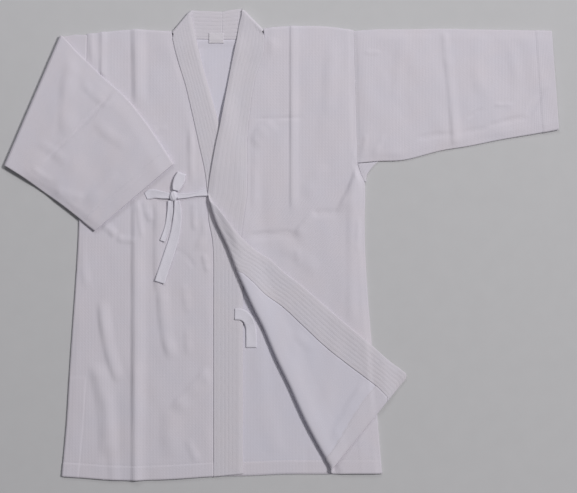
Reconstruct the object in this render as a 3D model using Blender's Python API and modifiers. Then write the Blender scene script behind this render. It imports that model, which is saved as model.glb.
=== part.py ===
"""White cotton training jacket, laid flat: one sleeve folded over the chest, one front turned back.

Sizes are in millimetres. X runs from the centre line towards the wearer's left, Y from the hem up to the
shoulders and Z up from the surface that the jacket lies on. Sheets are built on their inside face, and the
wall grows towards the outside. The back is built on the face it lies on, and the sleeves on their outer one.
"""
import math
from collections import namedtuple

import bpy
from mathutils import Vector

MM = 0.001
JACKET_LENGTH = 800.0
CLOTH_WALL = 1.6
COLLAR_WALL = 3.2
STITCHED_WALL = 2.4
RIBBON_WALL = 1.3
LABEL_WALL = 0.7
SEAM_GAP = 0.3
ROLL_SEAM_GAP = 0.8

FRONT_BED = CLOTH_WALL + SEAM_GAP
CROSSING_RISE = COLLAR_WALL + SEAM_GAP

SLEEVE_HEIGHT = 2 * CLOTH_WALL + 0.8
CUFF_HEIGHT = SLEEVE_HEIGHT + 2.2
SLEEVE_FOLD_RADIUS = 3.6
NAPE_FOLD_RADIUS = 0.8
FRONT_FOLD_RADIUS = 5.5
GUSSET_REACH = 36.0

# The turned-back front rolls about lines of this direction, which run down and out to the hem.
FOLD_DOWN = Vector((0.427, -0.904))
FOLD_OUT = Vector((0.904, 0.427))
FOLD_ARC = math.pi * FRONT_FOLD_RADIUS / FOLD_OUT.x
FOLD_EDGE = FRONT_FOLD_RADIUS / FOLD_OUT.x
FOLD_TAKE_UP = FOLD_ARC - FOLD_EDGE
FOLD_HEM_LIFT = 9.0

WHITE = (0.71, 0.69, 0.73)
WHITE_QUILTED = (0.73, 0.71, 0.75)
WHITE_RIBBON = (0.70, 0.70, 0.78)
COTTON_ROUGHNESS = 0.9

Side = namedtuple("Side", "y right left")
SIDES = [
    Side(800, -239, 240), Side(562, -245, 247), Side(545, -249, 253), Side(527, -252, 260),
    Side(460, -251, 260), Side(400, -253, 261), Side(317, -257, 266), Side(209, -268, 275),
    Side(100, -275, 283), Side(0, -283, 291),
]

Edge = namedtuple("Edge", "x shoulder hem")
EDGES = [
    Edge(-283, 794, 0), Edge(-239, 794, -3), Edge(-198, 798, -6), Edge(-153, 801, -7), Edge(-90, 798, -5),
    Edge(-10, 798, 0), Edge(50, 800, 1), Edge(117, 806, 4), Edge(184, 807, 4), Edge(240, 801, 5),
    Edge(291, 801, 5),
]

# The back's top edge: the shoulders, cut down at the neck.
Top = namedtuple("Top", "x y")
BACK_TOP = [
    Top(-239, 794), Top(-198, 798), Top(-153, 801), Top(-120, 799), Top(-90, 797.5), Top(-86, 795.8),
    Top(-70, 788.6), Top(-50, 785.8), Top(-25, 785.2), Top(0, 785), Top(25, 785.2), Top(50, 785.8),
    Top(66, 789.6), Top(76, 796), Top(80, 802), Top(117, 806), Top(150, 807), Top(184, 807),
    Top(212, 805), Top(240, 801),
]

Band = namedtuple("Band", "seam_x seam_y edge_x edge_y")
UNDER_NAPE = [
    Band(3.8, 786.0, 3.8, 835), Band(-30, 786.2, -18, 836), Band(-55, 788.0, -36, 836.5),
    Band(-86.5, 798.5, -53.5, 838),
]
UNDER_COLLAR = [
    Band(-86.5, 798.5, -53.5, 838), Band(-81, 772, -47, 806), Band(-73, 742, -39, 770), Band(-62, 706, -28, 726),
    Band(-50, 655, -12, 670), Band(-38, 601, 4, 611), Band(-25, 538, 20, 545), Band(-20, 464, 32, 468),
    Band(-13, 425, 38, 427), Band(-11, 389, 40, 390), Band(-11, 300, 41, 300), Band(-11, 150, 41, 152),
    Band(-11, 0, 41, 5),
]
OVER_NAPE = [
    Band(4.2, 786.0, 4.2, 835), Band(30, 786.4, 18, 838), Band(54, 790.4, 31, 839.5),
    Band(78.5, 803, 42.5, 840),
]
OVER_COLLAR = [
    Band(78.5, 803, 42.5, 840), Band(80, 774, 34, 812), Band(74, 746, 27, 784), Band(65, 722, 18, 750),
    Band(59, 695, 10, 713), Band(55, 668, 4, 681), Band(50, 623, -4, 632), Band(48, 590, -11, 595),
    Band(49, 560, -16, 562), Band(48.6, 533, -20, 533),
    Band(48, 504, -22, 504),
]

# Where each cross thread of the over front turns back, and how far beyond that its collar seam and edge lie.
Turn = namedtuple("Turn", "y x seam edge")
TURNS = [
    Turn(504, -22, -70, 1), Turn(461, -9, -51, 18), Turn(416, 11, -23, 31), Turn(371, 25, 9, 55),
    Turn(335, 40, 27, 77), Turn(302, 54, 41, 92), Turn(268, 76, 54, 104), Turn(214, 99, 78, 130),
    Turn(164, 122, 99, 153), Turn(101, 149, 131, 184), Turn(50, 173, 156, 205), Turn(8, 195, 168, 221),
]

Ring = namedtuple("Ring", "top_x top_y bottom_x bottom_y height")
LEFT_SLEEVE = [
    Ring(240.4, 801, 247.4, 563, SLEEVE_HEIGHT), Ring(286, 804, 286, 566.4, SLEEVE_HEIGHT),
    Ring(333, 804, 333, 569, SLEEVE_HEIGHT), Ring(396, 805, 396, 585, SLEEVE_HEIGHT),
    Ring(450, 804, 450, 594, SLEEVE_HEIGHT), Ring(504, 803, 504, 605, SLEEVE_HEIGHT),
    Ring(560, 802, 564, 615, 0.5 * (SLEEVE_HEIGHT + CUFF_HEIGHT)), Ring(599, 801, 611, 623, CUFF_HEIGHT),
]
RIGHT_SLEEVE_ROOT = [
    Ring(-239.4, 794, -245.4, 563, SLEEVE_HEIGHT), Ring(-262, 794, -312, 562, SLEEVE_HEIGHT),
]
SLEEVE_FOLD = Ring(-287, 793, -386, 560, SLEEVE_HEIGHT)
RIGHT_SLEEVE_OVER = [
    SLEEVE_FOLD, Ring(-262, 768, -350, 535, SLEEVE_HEIGHT), Ring(-235, 742, -315, 510, SLEEVE_HEIGHT),
    Ring(-206, 714, -285, 489, SLEEVE_HEIGHT), Ring(-168, 680, -258, 468, SLEEVE_HEIGHT),
    Ring(-125, 626, -241, 454, 0.5 * (SLEEVE_HEIGHT + CUFF_HEIGHT)), Ring(-83, 562, -225, 441, CUFF_HEIGHT),
]
RIGHT_SLEEVE_BED = SLEEVE_HEIGHT + 0.5

# Cross threads that the fronts and their collars share, so that seams keep one gap.
ARMHOLE_END = 562.0
UNDERARM_LEVELS = [ARMHOLE_END, 553.0, 545.0, 536.0, 527.0]
UPPER_LEVELS = [778.0, 762.0, 746.0, 728.0, 708.0, 682.0, 655.0, 625.0, 593.0]
TURN_LEVELS = (
    [504, 488, 472, 456, 440, 424, 408]
    + [400 - 6 * k for k in range(7)]
    + [346 - 26 * k for k in range(13)]
    + [16, 0]
)

# Rows of stitches along the collar, by their share of the way from its seam to its free edge. The padding
# stands up between them on the collar's outer face.
QUILT_ROWS = (0.0, 0.09, 0.225, 0.36, 0.495, 0.63, 0.765, 0.90, 1.0)
QUILT_EDGE = 0.4

# Soft folds that stand up from a panel along a line, by height over half_width to each side.
Fold = namedtuple("Fold", "x1 y1 x2 y2 half_width height")
UNDER_FRONT_FOLDS = [
    Fold(-153, 420, -153, -60, 15, 2.6), Fold(-120, 490, -117, 300, 20, 2.2),
    Fold(-117, 325, -90, 200, 20, 2.0), Fold(-240, 340, -190, 160, 18, 2.0),
    Fold(-241, 200, -215, 70, 18, 1.6), Fold(-20, 215, -105, 105, 20, 1.6),
    Fold(-160, 800, -160, 672, 12, 2.4), Fold(-212, 800, -212, 716, 12, 1.8),
]
OVER_FRONT_FOLDS = [
    Fold(126, 815, 126, 470, 14, 2.2), Fold(249, 575, 230, 490, 14, 2.4), Fold(238, 512, 165, 470, 16, 2.4),
    Fold(185, 482, 95, 436, 18, 1.8), Fold(236, 520, 236, 290, 15, 1.4),
]
LEFT_SLEEVE_FOLDS = [
    Fold(404, 830, 418, 590, 13, 1.8), Fold(350, 600, 500, 622, 16, 1.5), Fold(480, 615, 590, 700, 16, 1.4),
]
RIGHT_SLEEVE_FOLDS = [Fold(-325, 555, -165, 706, 13, 1.8)]

# A ribbon's middle line, its width there and how far it stands above what it lies on.
Stretch = namedtuple("Stretch", "x y width lift")
TIES = {
    "tie_band_right": [
        Stretch(-137, 503, 14, 0.5), Stretch(-128, 508, 19, 0.6), Stretch(-118, 508, 15, 1.4),
        Stretch(-104, 506, 13, 2.2), Stretch(-89.9, 504, 9, 2.6),
    ],
    "tie_band_left": [
        Stretch(-23.4, 511, 13.5, 2.8), Stretch(-34, 509, 9.5, 2.6), Stretch(-46, 506.4, 6.6, 2.5),
        Stretch(-60, 504.6, 8, 2.5), Stretch(-76.2, 504, 10, 2.6),
    ],
    "tie_tail_long": [
        Stretch(-77, 495.4, 9, 2.4), Stretch(-76, 470, 14, 1.2), Stretch(-81, 434, 17, 0.1),
        Stretch(-92, 398, 18, 0.5), Stretch(-101, 371, 18, 0.5), Stretch(-108, 349, 18, 1.2),
    ],
    "tie_tail_short": [
        Stretch(-88.5, 495.5, 9, 2.4), Stretch(-90, 470, 10, 1.2), Stretch(-95, 446, 9, 0.1),
        Stretch(-103, 423, 9, 1.4),
    ],
}
INNER_TIE = [
    Stretch(27, 292, 20, 0.5), Stretch(39, 291, 20, 0.5), Stretch(49, 284, 18, 0.5),
    Stretch(55, 270, 18, 0.5), Stretch(56.5, 252, 19, 0.5), Stretch(56.5, 232, 19, 0.5),
]
TIE_LOOP = [Stretch(-78, 514.0, 11, 2.0), Stretch(-75, 526, 19, 0.8), Stretch(-70, 541, 22, 0.1)]
LOOP_RADIUS = 2.4
KNOT_CENTRE = Vector((-83.0, 504.0, 8.3))
KNOT_SIZE = Vector((13.4, 18.0, 8.0))
LABEL_TOP = 797.0
LABEL_BOTTOM = 779.0
LABEL_LEFT = 6.5
LABEL_RIGHT = -20.0


def smooth(value):
    """An even S-curve from 0 to 1 as value goes from 0 to 1."""
    value = min(1.0, max(0.0, value))
    return value * value * (3.0 - 2.0 * value)


def blend(start, end, share):
    return start + (end - start) * share


def read(table, column, at, key="y"):
    """A column of a table at a place between its rows, on a smooth curve through them."""
    rows = sorted(table, key=lambda row: getattr(row, key))
    places = [getattr(row, key) for row in rows]
    values = [getattr(row, column) for row in rows]
    at = min(places[-1], max(places[0], at))
    i = max(k for k in range(len(places) - 1) if places[k] <= at)

    def slope(k):
        low, high = max(0, k - 1), min(len(places) - 1, k + 1)
        return (values[high] - values[low]) / (places[high] - places[low])

    span = places[i + 1] - places[i]
    t = (at - places[i]) / span
    return (
        values[i] * (1 + 2 * t) * (1 - t) ** 2
        + values[i + 1] * t * t * (3 - 2 * t)
        + span * (slope(i) * t * (1 - t) ** 2 - slope(i + 1) * t * t * (1 - t))
    )


def row_between(table, share):
    """The row of numbers at a share of the way down a table, on a smooth curve through its rows."""
    place = share * (len(table) - 1)
    i = min(len(table) - 2, int(place))
    t = place - i
    before, first, second, after = (table[max(0, min(len(table) - 1, k))] for k in (i - 1, i, i + 1, i + 2))
    return type(first)(*(
        0.5 * (2 * b + (c - a) * t + (2 * a - 5 * b + 4 * c - d) * t * t + (3 * b - a - 3 * c + d) * t ** 3)
        for a, b, c, d in zip(before, first, second, after)
    ))


def folds_at(folds, x, y):
    """How far the soft folds lift a panel at a place; each runs out before its ends."""
    lift = 0.0
    for fold in folds:
        run = Vector((fold.x2 - fold.x1, fold.y2 - fold.y1))
        off = Vector((x - fold.x1, y - fold.y1))
        length = run.length
        down = off.dot(run) / length
        across = abs(off.x * run.y - off.y * run.x) / length
        ends = smooth(down / 30.0) * smooth((length - down) / 30.0)
        lift = max(lift, fold.height * ends * smooth(1.0 - across / fold.half_width))
    return lift


def under_edge_x(y):
    """The free edge of the under collar at a height."""
    return read(UNDER_COLLAR, "edge_x", y, key="edge_y")


def over_bed(x, y):
    """The underside of the over front and its collar: on the back, or raised over the under collar."""
    beyond = (x - under_edge_x(y) - 10.0) / 40.0
    crossing = smooth((720.0 - y) / 60.0) * (1.0 - smooth(beyond))
    return FRONT_BED + CROSSING_RISE * crossing


def collar_bed(x, y):
    """The underside of a collar, which climbs onto its own nape near the shoulder fold."""
    nape = smooth((y - 735.0) / 42.0) * (COLLAR_WALL - CLOTH_WALL + 0.1)
    fold = smooth((y - 795.0) / 40.0) * (2 * NAPE_FOLD_RADIUS - SEAM_GAP)
    return FRONT_BED + nape + fold


def neck_rise(x, y):
    """How far the fronts rise beside the neck, to meet their collars."""
    return (collar_bed(x, y) - FRONT_BED) * smooth((160.0 - abs(x)) / 70.0)


def under_front_bed(x, y):
    return FRONT_BED + max(neck_rise(x, y), folds_at(UNDER_FRONT_FOLDS, x, y))


def over_front_bed(x, y):
    return over_bed(x, y) + max(neck_rise(x, y), folds_at(OVER_FRONT_FOLDS, x, y))


def side_x(column, y):
    """The panels' outer edge: straight along the armhole, then down the side seam."""
    if y > 562:
        top, bottom = SIDES[0], SIDES[1]
        return blend(getattr(bottom, column), getattr(top, column), (y - bottom.y) / (top.y - bottom.y))
    return read(SIDES[1:], column, y)


def panel_level(x, level):
    """Height of a cross thread: level, but for its curve near the shoulder and near the hem."""
    shoulder = read(EDGES, "shoulder", x, key="x") - JACKET_LENGTH
    hem = read(EDGES, "hem", x, key="x")
    return level + shoulder * smooth((level - 650.0) / 150.0) + hem * smooth((150.0 - level) / 150.0)


def over_seam_x(y):
    """The seam between the over front and its collar, above the place where it turns back."""
    if y > TURNS[0].y:
        return read(OVER_COLLAR, "seam_x", y, key="seam_y")
    return turn_x(y) - read(TURNS, "seam", y)


def turn_x(y):
    return read(TURNS, "x", y)


def thread_length(reach):
    """Length of a cross thread from the start of the roll, for a place that shows reach beyond its edge."""
    return reach + FOLD_EDGE + (FOLD_TAKE_UP - FOLD_EDGE) * smooth(reach / 12.0)


def support(x, y):
    """The top of what the turned-back front lies on; past the side seam that is the floor."""
    wall = blend(CLOTH_WALL, COLLAR_WALL, 1.0 - smooth((x - over_seam_x(max(y, 380.0)) - 6.0) / 15.0))
    wall = blend(CLOTH_WALL, wall, smooth((y - 340.0) / 30.0))
    inside = 1.0 - smooth((x - side_x("left", y) - 14.0) / 32.0)
    return (over_front_bed(x, y) + wall) * inside


def over_point(y, thread, wall):
    """A place on the over front's inside: thread counts along a cross thread from the start of the roll."""
    start = Vector((turn_x(y) + FOLD_EDGE, 0.0))
    start.y = panel_level(start.x, y)
    if thread <= 0.0:
        x = start.x - thread
        return Vector((x, panel_level(x, y), over_front_bed(x, panel_level(x, y))))
    base = over_front_bed(start.x, start.y)
    share = min(1.0, thread / FOLD_ARC)
    along = -FOLD_DOWN.x * (thread - FOLD_TAKE_UP * share) - FOLD_HEM_LIFT * share * smooth((70.0 - y) / 70.0)
    angle = math.pi * share
    beyond = max(0.0, thread - FOLD_ARC) * FOLD_OUT.x
    place = start + FOLD_DOWN * along + FOLD_OUT * (beyond - FRONT_FOLD_RADIUS * math.sin(angle))
    rolled = base + FRONT_FOLD_RADIUS * (1.0 - math.cos(angle))
    settled = support(place.x, place.y) + 1.5 * SEAM_GAP + wall
    return Vector((place.x, place.y, blend(rolled, settled, smooth(beyond / 45.0))))


def over_row(y, stops, wall):
    return [(stop, over_point(y, stop, wall)) for stop in stops]


def stops_between(start, end, columns):
    """Places along a thread: start, end and the fixed columns that lie between them."""
    inner = [c for c in columns if start + 2.0 < c < end - 2.0]
    return [start] + inner + [end]


def roll_columns(spacing, steps, reach):
    """Fixed columns for the roll and for the turned-back part beyond it."""
    columns = [FOLD_ARC * k / steps for k in range(steps + 1)]
    columns += [FOLD_ARC + spacing * k for k in range(1, int(reach / spacing) + 1)]
    return columns


def cotton(name, colour):
    material = bpy.data.materials.new(name)
    material.use_nodes = True
    shader = material.node_tree.nodes["Principled BSDF"]
    shader.inputs["Base Color"].default_value = (*colour, 1.0)
    shader.inputs["Roughness"].default_value = COTTON_ROUGHNESS
    shader.inputs["Metallic"].default_value = 0.0
    return material


def new_object(name, mesh, colour, collection, parent):
    mesh.materials.append(cotton(name, colour))
    piece = bpy.data.objects.new(name, mesh)
    piece.parent = parent
    collection.objects.link(piece)
    return piece


def stitch_rows(first, second, first_start, second_start):
    """Faces between two rows: quads where their places pair up, and triangles where one has more."""
    if len(first) == len(second):
        return [
            (first_start + k, first_start + k + 1, second_start + k + 1, second_start + k)
            for k in range(len(first) - 1)
        ]
    faces = []
    i = j = 0
    while i < len(first) - 1 or j < len(second) - 1:
        step_first = j == len(second) - 1 or (i < len(first) - 1 and first[i + 1][0] <= second[j + 1][0])
        if step_first:
            faces.append((first_start + i, first_start + i + 1, second_start + j))
            i += 1
        else:
            faces.append((first_start + i, second_start + j + 1, second_start + j))
            j += 1
    return faces


def sheet(name, rows, wall, colour, collection, parent, flip=False, crowns=()):
    """A cloth piece from rows of (place, point) on its inside face, thickened towards its outside.

    Where crowns are given, the wall is thin along the rows of stitches and full where a column's crown is 1.
    """
    points = []
    starts = []
    for row in rows:
        starts.append(len(points))
        points += [tuple(point * MM) for _, point in row]
    faces = []
    for k in range(len(rows) - 1):
        faces += stitch_rows(rows[k], rows[k + 1], starts[k], starts[k + 1])
    if flip:
        faces = [tuple(reversed(face)) for face in faces]
    mesh = bpy.data.meshes.new(name)
    mesh.from_pydata(points, [], faces)
    mesh.shade_smooth()
    piece = new_object(name, mesh, colour, collection, parent)
    solid = piece.modifiers.new("wall", "SOLIDIFY")
    solid.thickness = wall * MM
    solid.offset = 1.0
    if crowns:
        padding = piece.vertex_groups.new(name="padding")
        for column, crown in enumerate(crowns):
            padding.add([start + column for start in starts], crown, "REPLACE")
        solid.vertex_group = "padding"
        solid.thickness_vertex_group = STITCHED_WALL / wall
    return piece


def numbered(points):
    return [(float(k), point) for k, point in enumerate(points)]


def build_back(collection, parent):
    """The back is one flat panel from side seam to side seam, cut away at the neck."""
    levels = [700.0, 630.0] + UNDERARM_LEVELS + [440.0, 352.0, 264.0, 176.0, 88.0, 0.0]
    low, high = BACK_TOP[0].x, BACK_TOP[-1].x
    rows = [numbered([Vector((top.x, top.y, 0.0)) for top in BACK_TOP])]
    for level in levels:
        row = []
        for top in BACK_TOP:
            x = blend(side_x("right", level), side_x("left", level), (top.x - low) / (high - low))
            row.append(Vector((x, panel_level(x, level) if level < 500 else level, 0.0)))
        rows.append(numbered(row))
    sheet("back_panel", rows, CLOTH_WALL, WHITE, collection, parent, flip=True)


def front_row(outer_x, inner_x, level, columns, bed):
    """A row of a front from its side to its inner edge."""
    row = []
    for c in range(columns + 1):
        x = blend(outer_x, inner_x, c / columns)
        y = panel_level(x, level)
        row.append(Vector((x, y, bed(x, y))))
    return row


def build_under_front(collection, parent):
    """The wearer's right front lies on the back and ends at its collar seam."""
    rows = []
    for level in [JACKET_LENGTH] + UPPER_LEVELS + UNDERARM_LEVELS + TURN_LEVELS:
        inner = read(UNDER_COLLAR, "seam_x", level, key="seam_y") - SEAM_GAP
        rows.append(numbered(front_row(side_x("right", level), inner, level, 20, under_front_bed)))
    sheet("front_under", rows, CLOTH_WALL, WHITE, collection, parent, flip=True)


def build_over_front(collection, parent):
    """The wearer's left front lies on the back, rolls over along its turn and comes back inside out."""
    columns = roll_columns(24.0, 6, 190.0)
    flat_columns = 13
    rows = []
    for level in [JACKET_LENGTH] + UPPER_LEVELS + UNDERARM_LEVELS + TURN_LEVELS:
        beyond = []
        inner = over_seam_x(level) + SEAM_GAP
        if level <= TURNS[0].y:
            reach = thread_length(read(TURNS, "seam", level))
            reach -= blend(SEAM_GAP, ROLL_SEAM_GAP, smooth((reach + 15.0) / 10.0))
            inner = turn_x(level) + FOLD_EDGE - min(0.0, reach)
            if reach > 0.0:
                beyond = stops_between(0.0, reach, columns)[1:]
        flat = front_row(side_x("left", level), inner, level, flat_columns, over_front_bed)
        row = [(float(c - flat_columns), point) for c, point in enumerate(flat)]
        rows.append(row + over_row(level, beyond, CLOTH_WALL))
    sheet("front_over", rows, CLOTH_WALL, WHITE, collection, parent)


def quilt_columns():
    """The collar's columns as (share across, crown): a row of stitches, then the padding beyond it."""
    columns = [(0.0, QUILT_EDGE)]
    for low, high in zip(QUILT_ROWS, QUILT_ROWS[1:]):
        columns += [(0.5 * (low + high), 1.0), (high, 0.0)]
    columns[-1] = (1.0, QUILT_EDGE)
    return columns


def across(start, end):
    """Places on the collar's columns between a place on its seam and one on its free edge."""
    return [blend(start, end, share) for share, _ in quilt_columns()]


def fold_rows(line, radius, wall, steps, flat_z):
    """Rows of a collar around the shoulder fold, parallel to the fold line, inside face."""
    seam = Vector((line.seam_x, line.seam_y, 0.0))
    edge = Vector((line.edge_x, line.edge_y, 0.0))
    run = (edge - seam).normalized()
    out = Vector((abs(run.y), abs(run.x), 0.0))
    if line.edge_x < 0:
        out.x = -out.x
    rows = []
    for k in range(steps + 1):
        angle = math.pi * k / steps
        shift = out * (radius * math.sin(angle) - radius - wall)
        rise = Vector((0.0, 0.0, flat_z + radius * (1.0 - math.cos(angle))))
        rows.append([place + shift + rise for place in across(seam, edge)])
    return rows


def collar_row(table, level, bed):
    """A row of a collar half across from its seam, where the seam is at level, to its free edge."""
    seam = Vector((read(table, "seam_x", level, key="seam_y"), 0.0))
    seam.y = panel_level(seam.x, level)
    edge = Vector((read(table, "edge_x", level, key="seam_y"), read(table, "edge_y", level, key="seam_y")))
    return [Vector((place.x, place.y, bed(place.x, place.y))) for place in across(seam, edge)]


def nape_row(band):
    seam = Vector((band.seam_x, band.seam_y, COLLAR_WALL))
    edge = Vector((band.edge_x, band.edge_y, COLLAR_WALL))
    return across(seam, edge)


def collar_rows(nape, front, levels, bed):
    """Rows of a collar half from the middle of the nape, round the shoulder fold and down the front."""
    rows = [nape_row(row_between(nape, k / 5)) for k in range(5)]
    rows += fold_rows(nape[-1], NAPE_FOLD_RADIUS, COLLAR_WALL, 6, COLLAR_WALL)
    rows += [collar_row(front, level, bed) for level in levels]
    return [numbered(row) for row in rows]


def build_under_collar(collection, parent):
    """The wearer's right half of the quilted collar, from the nape to the hem."""
    rows = collar_rows(UNDER_NAPE, UNDER_COLLAR, UPPER_LEVELS + UNDERARM_LEVELS + TURN_LEVELS, collar_bed)
    crowns = [crown for _, crown in quilt_columns()]
    sheet("collar_under", rows, COLLAR_WALL, WHITE_QUILTED, collection, parent, flip=True, crowns=crowns)


def build_over_collar(collection, parent):
    """The wearer's left half: it crosses the under collar and turns back with its front."""
    def bed(x, y):
        return collar_bed(x, y) + over_bed(x, y) - FRONT_BED

    rows = collar_rows(OVER_NAPE, OVER_COLLAR, UPPER_LEVELS + UNDERARM_LEVELS, bed)
    for level in TURN_LEVELS:
        start = thread_length(read(TURNS, "seam", level))
        end = thread_length(read(TURNS, "edge", level))
        rows.append(over_row(level, across(start, end), COLLAR_WALL))
    crowns = [crown for _, crown in quilt_columns()]
    sheet("collar_over", rows, COLLAR_WALL, WHITE_QUILTED, collection, parent, crowns=crowns)


def ring_places(length, height, across):
    """A flattened tube's outline: (place along the ring, height off its middle)."""
    half = 0.5 * height
    places = [(blend(half, length - half, k / across), -half) for k in range(across + 1)]
    places += [(length - half + half * math.cos(a), half * math.sin(a)) for a in (-0.7, 0.0, 0.7)]
    places += [(blend(length - half, half, k / across), half) for k in range(across + 1)]
    places += [(half - half * math.cos(a), half * math.sin(a)) for a in (0.7, 0.0, -0.7)]
    return places


def ring_points(ring, middle_z, up, across, shift=Vector((0.0, 0.0, 0.0)), folds=(), top_sign=1.0):
    """A ring of a flattened sleeve on its outer face, with its soft folds on the wall that shows."""
    top = Vector((ring.top_x, ring.top_y, 0.0))
    bottom = Vector((ring.bottom_x, ring.bottom_y, 0.0))
    run = (bottom - top).normalized()
    points = []
    for along, off in ring_places((bottom - top).length, ring.height, across):
        place = top + run * along + shift
        point = place + Vector((0.0, 0.0, middle_z(place.x, place.y))) + up * off
        if off * top_sign > 0.4 * ring.height:
            point.z += folds_at(folds, place.x, place.y)
        points.append(point)
    return points


def tube(name, rings, wall, collection, parent, flip=False):
    """A sleeve from rings on its outer face, open at both ends and thickened inwards."""
    count = len(rings[0])
    faces = []
    for k in range(len(rings) - 1):
        for c in range(count):
            n = (c + 1) % count
            faces.append((k * count + c, k * count + n, (k + 1) * count + n, (k + 1) * count + c))
    if flip:
        faces = [tuple(reversed(face)) for face in faces]
    mesh = bpy.data.meshes.new(name)
    mesh.from_pydata([tuple(point * MM) for ring in rings for point in ring], [], faces)
    mesh.shade_smooth()
    piece = new_object(name, mesh, WHITE, collection, parent)
    solid = piece.modifiers.new("wall", "SOLIDIFY")
    solid.thickness = wall * MM
    solid.offset = -1.0
    return piece


def build_left_sleeve(collection, parent):
    """The wearer's left sleeve lies straight out, its two walls on each other and its cuff open."""
    up = Vector((0.0, 0.0, 1.0))
    rings = []
    steps = 18
    for k in range(steps + 1):
        ring = row_between(LEFT_SLEEVE, k / steps)
        rings.append(ring_points(ring, lambda x, y: 0.5 * ring.height, up, 8, folds=LEFT_SLEEVE_FOLDS))
    tube("sleeve_left", rings, CLOTH_WALL, collection, parent, flip=True)


def build_right_sleeve(collection, parent):
    """The wearer's right sleeve runs out to its fold, rolls over and lies back across the chest."""
    up = Vector((0.0, 0.0, 1.0))
    half = 0.5 * SLEEVE_HEIGHT
    run = Vector((SLEEVE_FOLD.bottom_x - SLEEVE_FOLD.top_x, SLEEVE_FOLD.bottom_y - SLEEVE_FOLD.top_y, 0.0))
    out = Vector((run.y, -run.x, 0.0)).normalized()
    inset = out * -(SLEEVE_FOLD_RADIUS + half)
    rings = [
        ring_points(RIGHT_SLEEVE_ROOT[0], lambda x, y: half, up, 7),
        ring_points(RIGHT_SLEEVE_ROOT[1], lambda x, y: half, up, 7),
    ]
    turn_steps = 8
    for k in range(turn_steps + 1):
        angle = math.pi * k / turn_steps
        shift = inset + out * (SLEEVE_FOLD_RADIUS * math.sin(angle))
        lift = half + SLEEVE_FOLD_RADIUS * (1.0 - math.cos(angle))
        normal = up * math.cos(angle) - out * math.sin(angle)
        rings.append(ring_points(SLEEVE_FOLD, lambda x, y: lift, normal, 7, shift=shift))
    settled = RIGHT_SLEEVE_BED + half + 0.1
    rolled = half + 2 * SLEEVE_FOLD_RADIUS
    over_steps = 12
    for k in range(1, over_steps + 1):
        share = k / over_steps
        ring = row_between(RIGHT_SLEEVE_OVER, share)
        shift = inset * (1.0 - smooth(4.0 * share))

        def middle(x, y):
            droop = 3.0 * smooth((540.0 - y) / 28.0) * smooth((-285.0 - x) / 30.0)
            return blend(rolled, settled, smooth(3.2 * share)) - droop + 0.5 * (ring.height - SLEEVE_HEIGHT)

        rings.append(ring_points(ring, middle, -up, 7, shift=shift, folds=RIGHT_SLEEVE_FOLDS, top_sign=-1.0))
    tube("sleeve_right", rings, CLOTH_WALL, collection, parent)


def build_gusset(name, column, sign, rise, collection, parent):
    """An underarm gusset: a small triangle of cloth folded over, between sleeve, front and back."""
    half = 0.5 * SLEEVE_HEIGHT
    rows = []
    for level in UNDERARM_LEVELS[:-1] + [530.0]:
        share = (ARMHOLE_END - level) / (ARMHOLE_END - 530.0)
        inner = side_x(column, level) + sign * SEAM_GAP
        width = blend(GUSSET_REACH, 3.6, smooth(1.3 * share))
        profile = [(0.0, 0.0), (width - half, 0.0)]
        profile += [(width - half + half * math.cos(a), half + half * math.sin(a)) for a in (-0.7, 0.0, 0.7)]
        profile += [(width - half, 2 * half), (0.0, 2 * half)]
        rows.append(numbered([
            Vector((inner + sign * across, level + rise * (1.0 - share) * across / GUSSET_REACH, z))
            for across, z in profile
        ]))
    piece = sheet(name, rows, CLOTH_WALL, WHITE, collection, parent, flip=sign < 0)
    piece.modifiers["wall"].offset = -1.0


def ribbon_rows(table, steps, ground):
    """Rows across a ribbon along its middle line, on its lower face."""
    bands = [row_between(table, k / steps) for k in range(steps + 1)]
    rows = []
    for k, band in enumerate(bands):
        before, after = bands[max(0, k - 1)], bands[min(steps, k + 1)]
        run = Vector((after.x - before.x, after.y - before.y)).normalized()
        side = Vector((run.y, -run.x))
        row = []
        for c in (-0.5, 0.0, 0.5):
            place = Vector((band.x, band.y)) + side * (band.width * c)
            row.append(Vector((place.x, place.y, ground(place.x, place.y) + band.lift)))
        level = max(point.z for point in row)
        rows.append([Vector((point.x, point.y, level)) for point in row])
    return rows


def build_ties(collection, parent):
    """The outer ties: bands from the over collar and the under front, a knot, one loop and two tails."""
    def ground(x, y):
        return under_front_bed(x, y) + CLOTH_WALL + 0.2

    for name, table in TIES.items():
        rows = [numbered(row) for row in ribbon_rows(table, 8, ground)]
        sheet(name, rows, RIBBON_WALL, WHITE_RIBBON, collection, parent)
    rows = ribbon_rows(TIE_LOOP, 5, ground)
    tip = rows[-1]
    ahead = Vector((TIE_LOOP[-1].x - TIE_LOOP[-2].x, TIE_LOOP[-1].y - TIE_LOOP[-2].y, 0.0)).normalized()
    turn = []
    for k in range(1, 6):
        angle = math.pi * k / 6
        shift = ahead * (LOOP_RADIUS * math.sin(angle))
        rise = Vector((0.0, 0.0, LOOP_RADIUS * (1.0 - math.cos(angle))))
        turn.append([point + shift + rise for point in tip])
    top = [[point + Vector((0.0, 0.0, 2 * LOOP_RADIUS)) for point in row] for row in reversed(rows)]
    rows = [numbered(row) for row in rows + turn + top]
    sheet("tie_loop", rows, RIBBON_WALL, WHITE_RIBBON, collection, parent)


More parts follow.
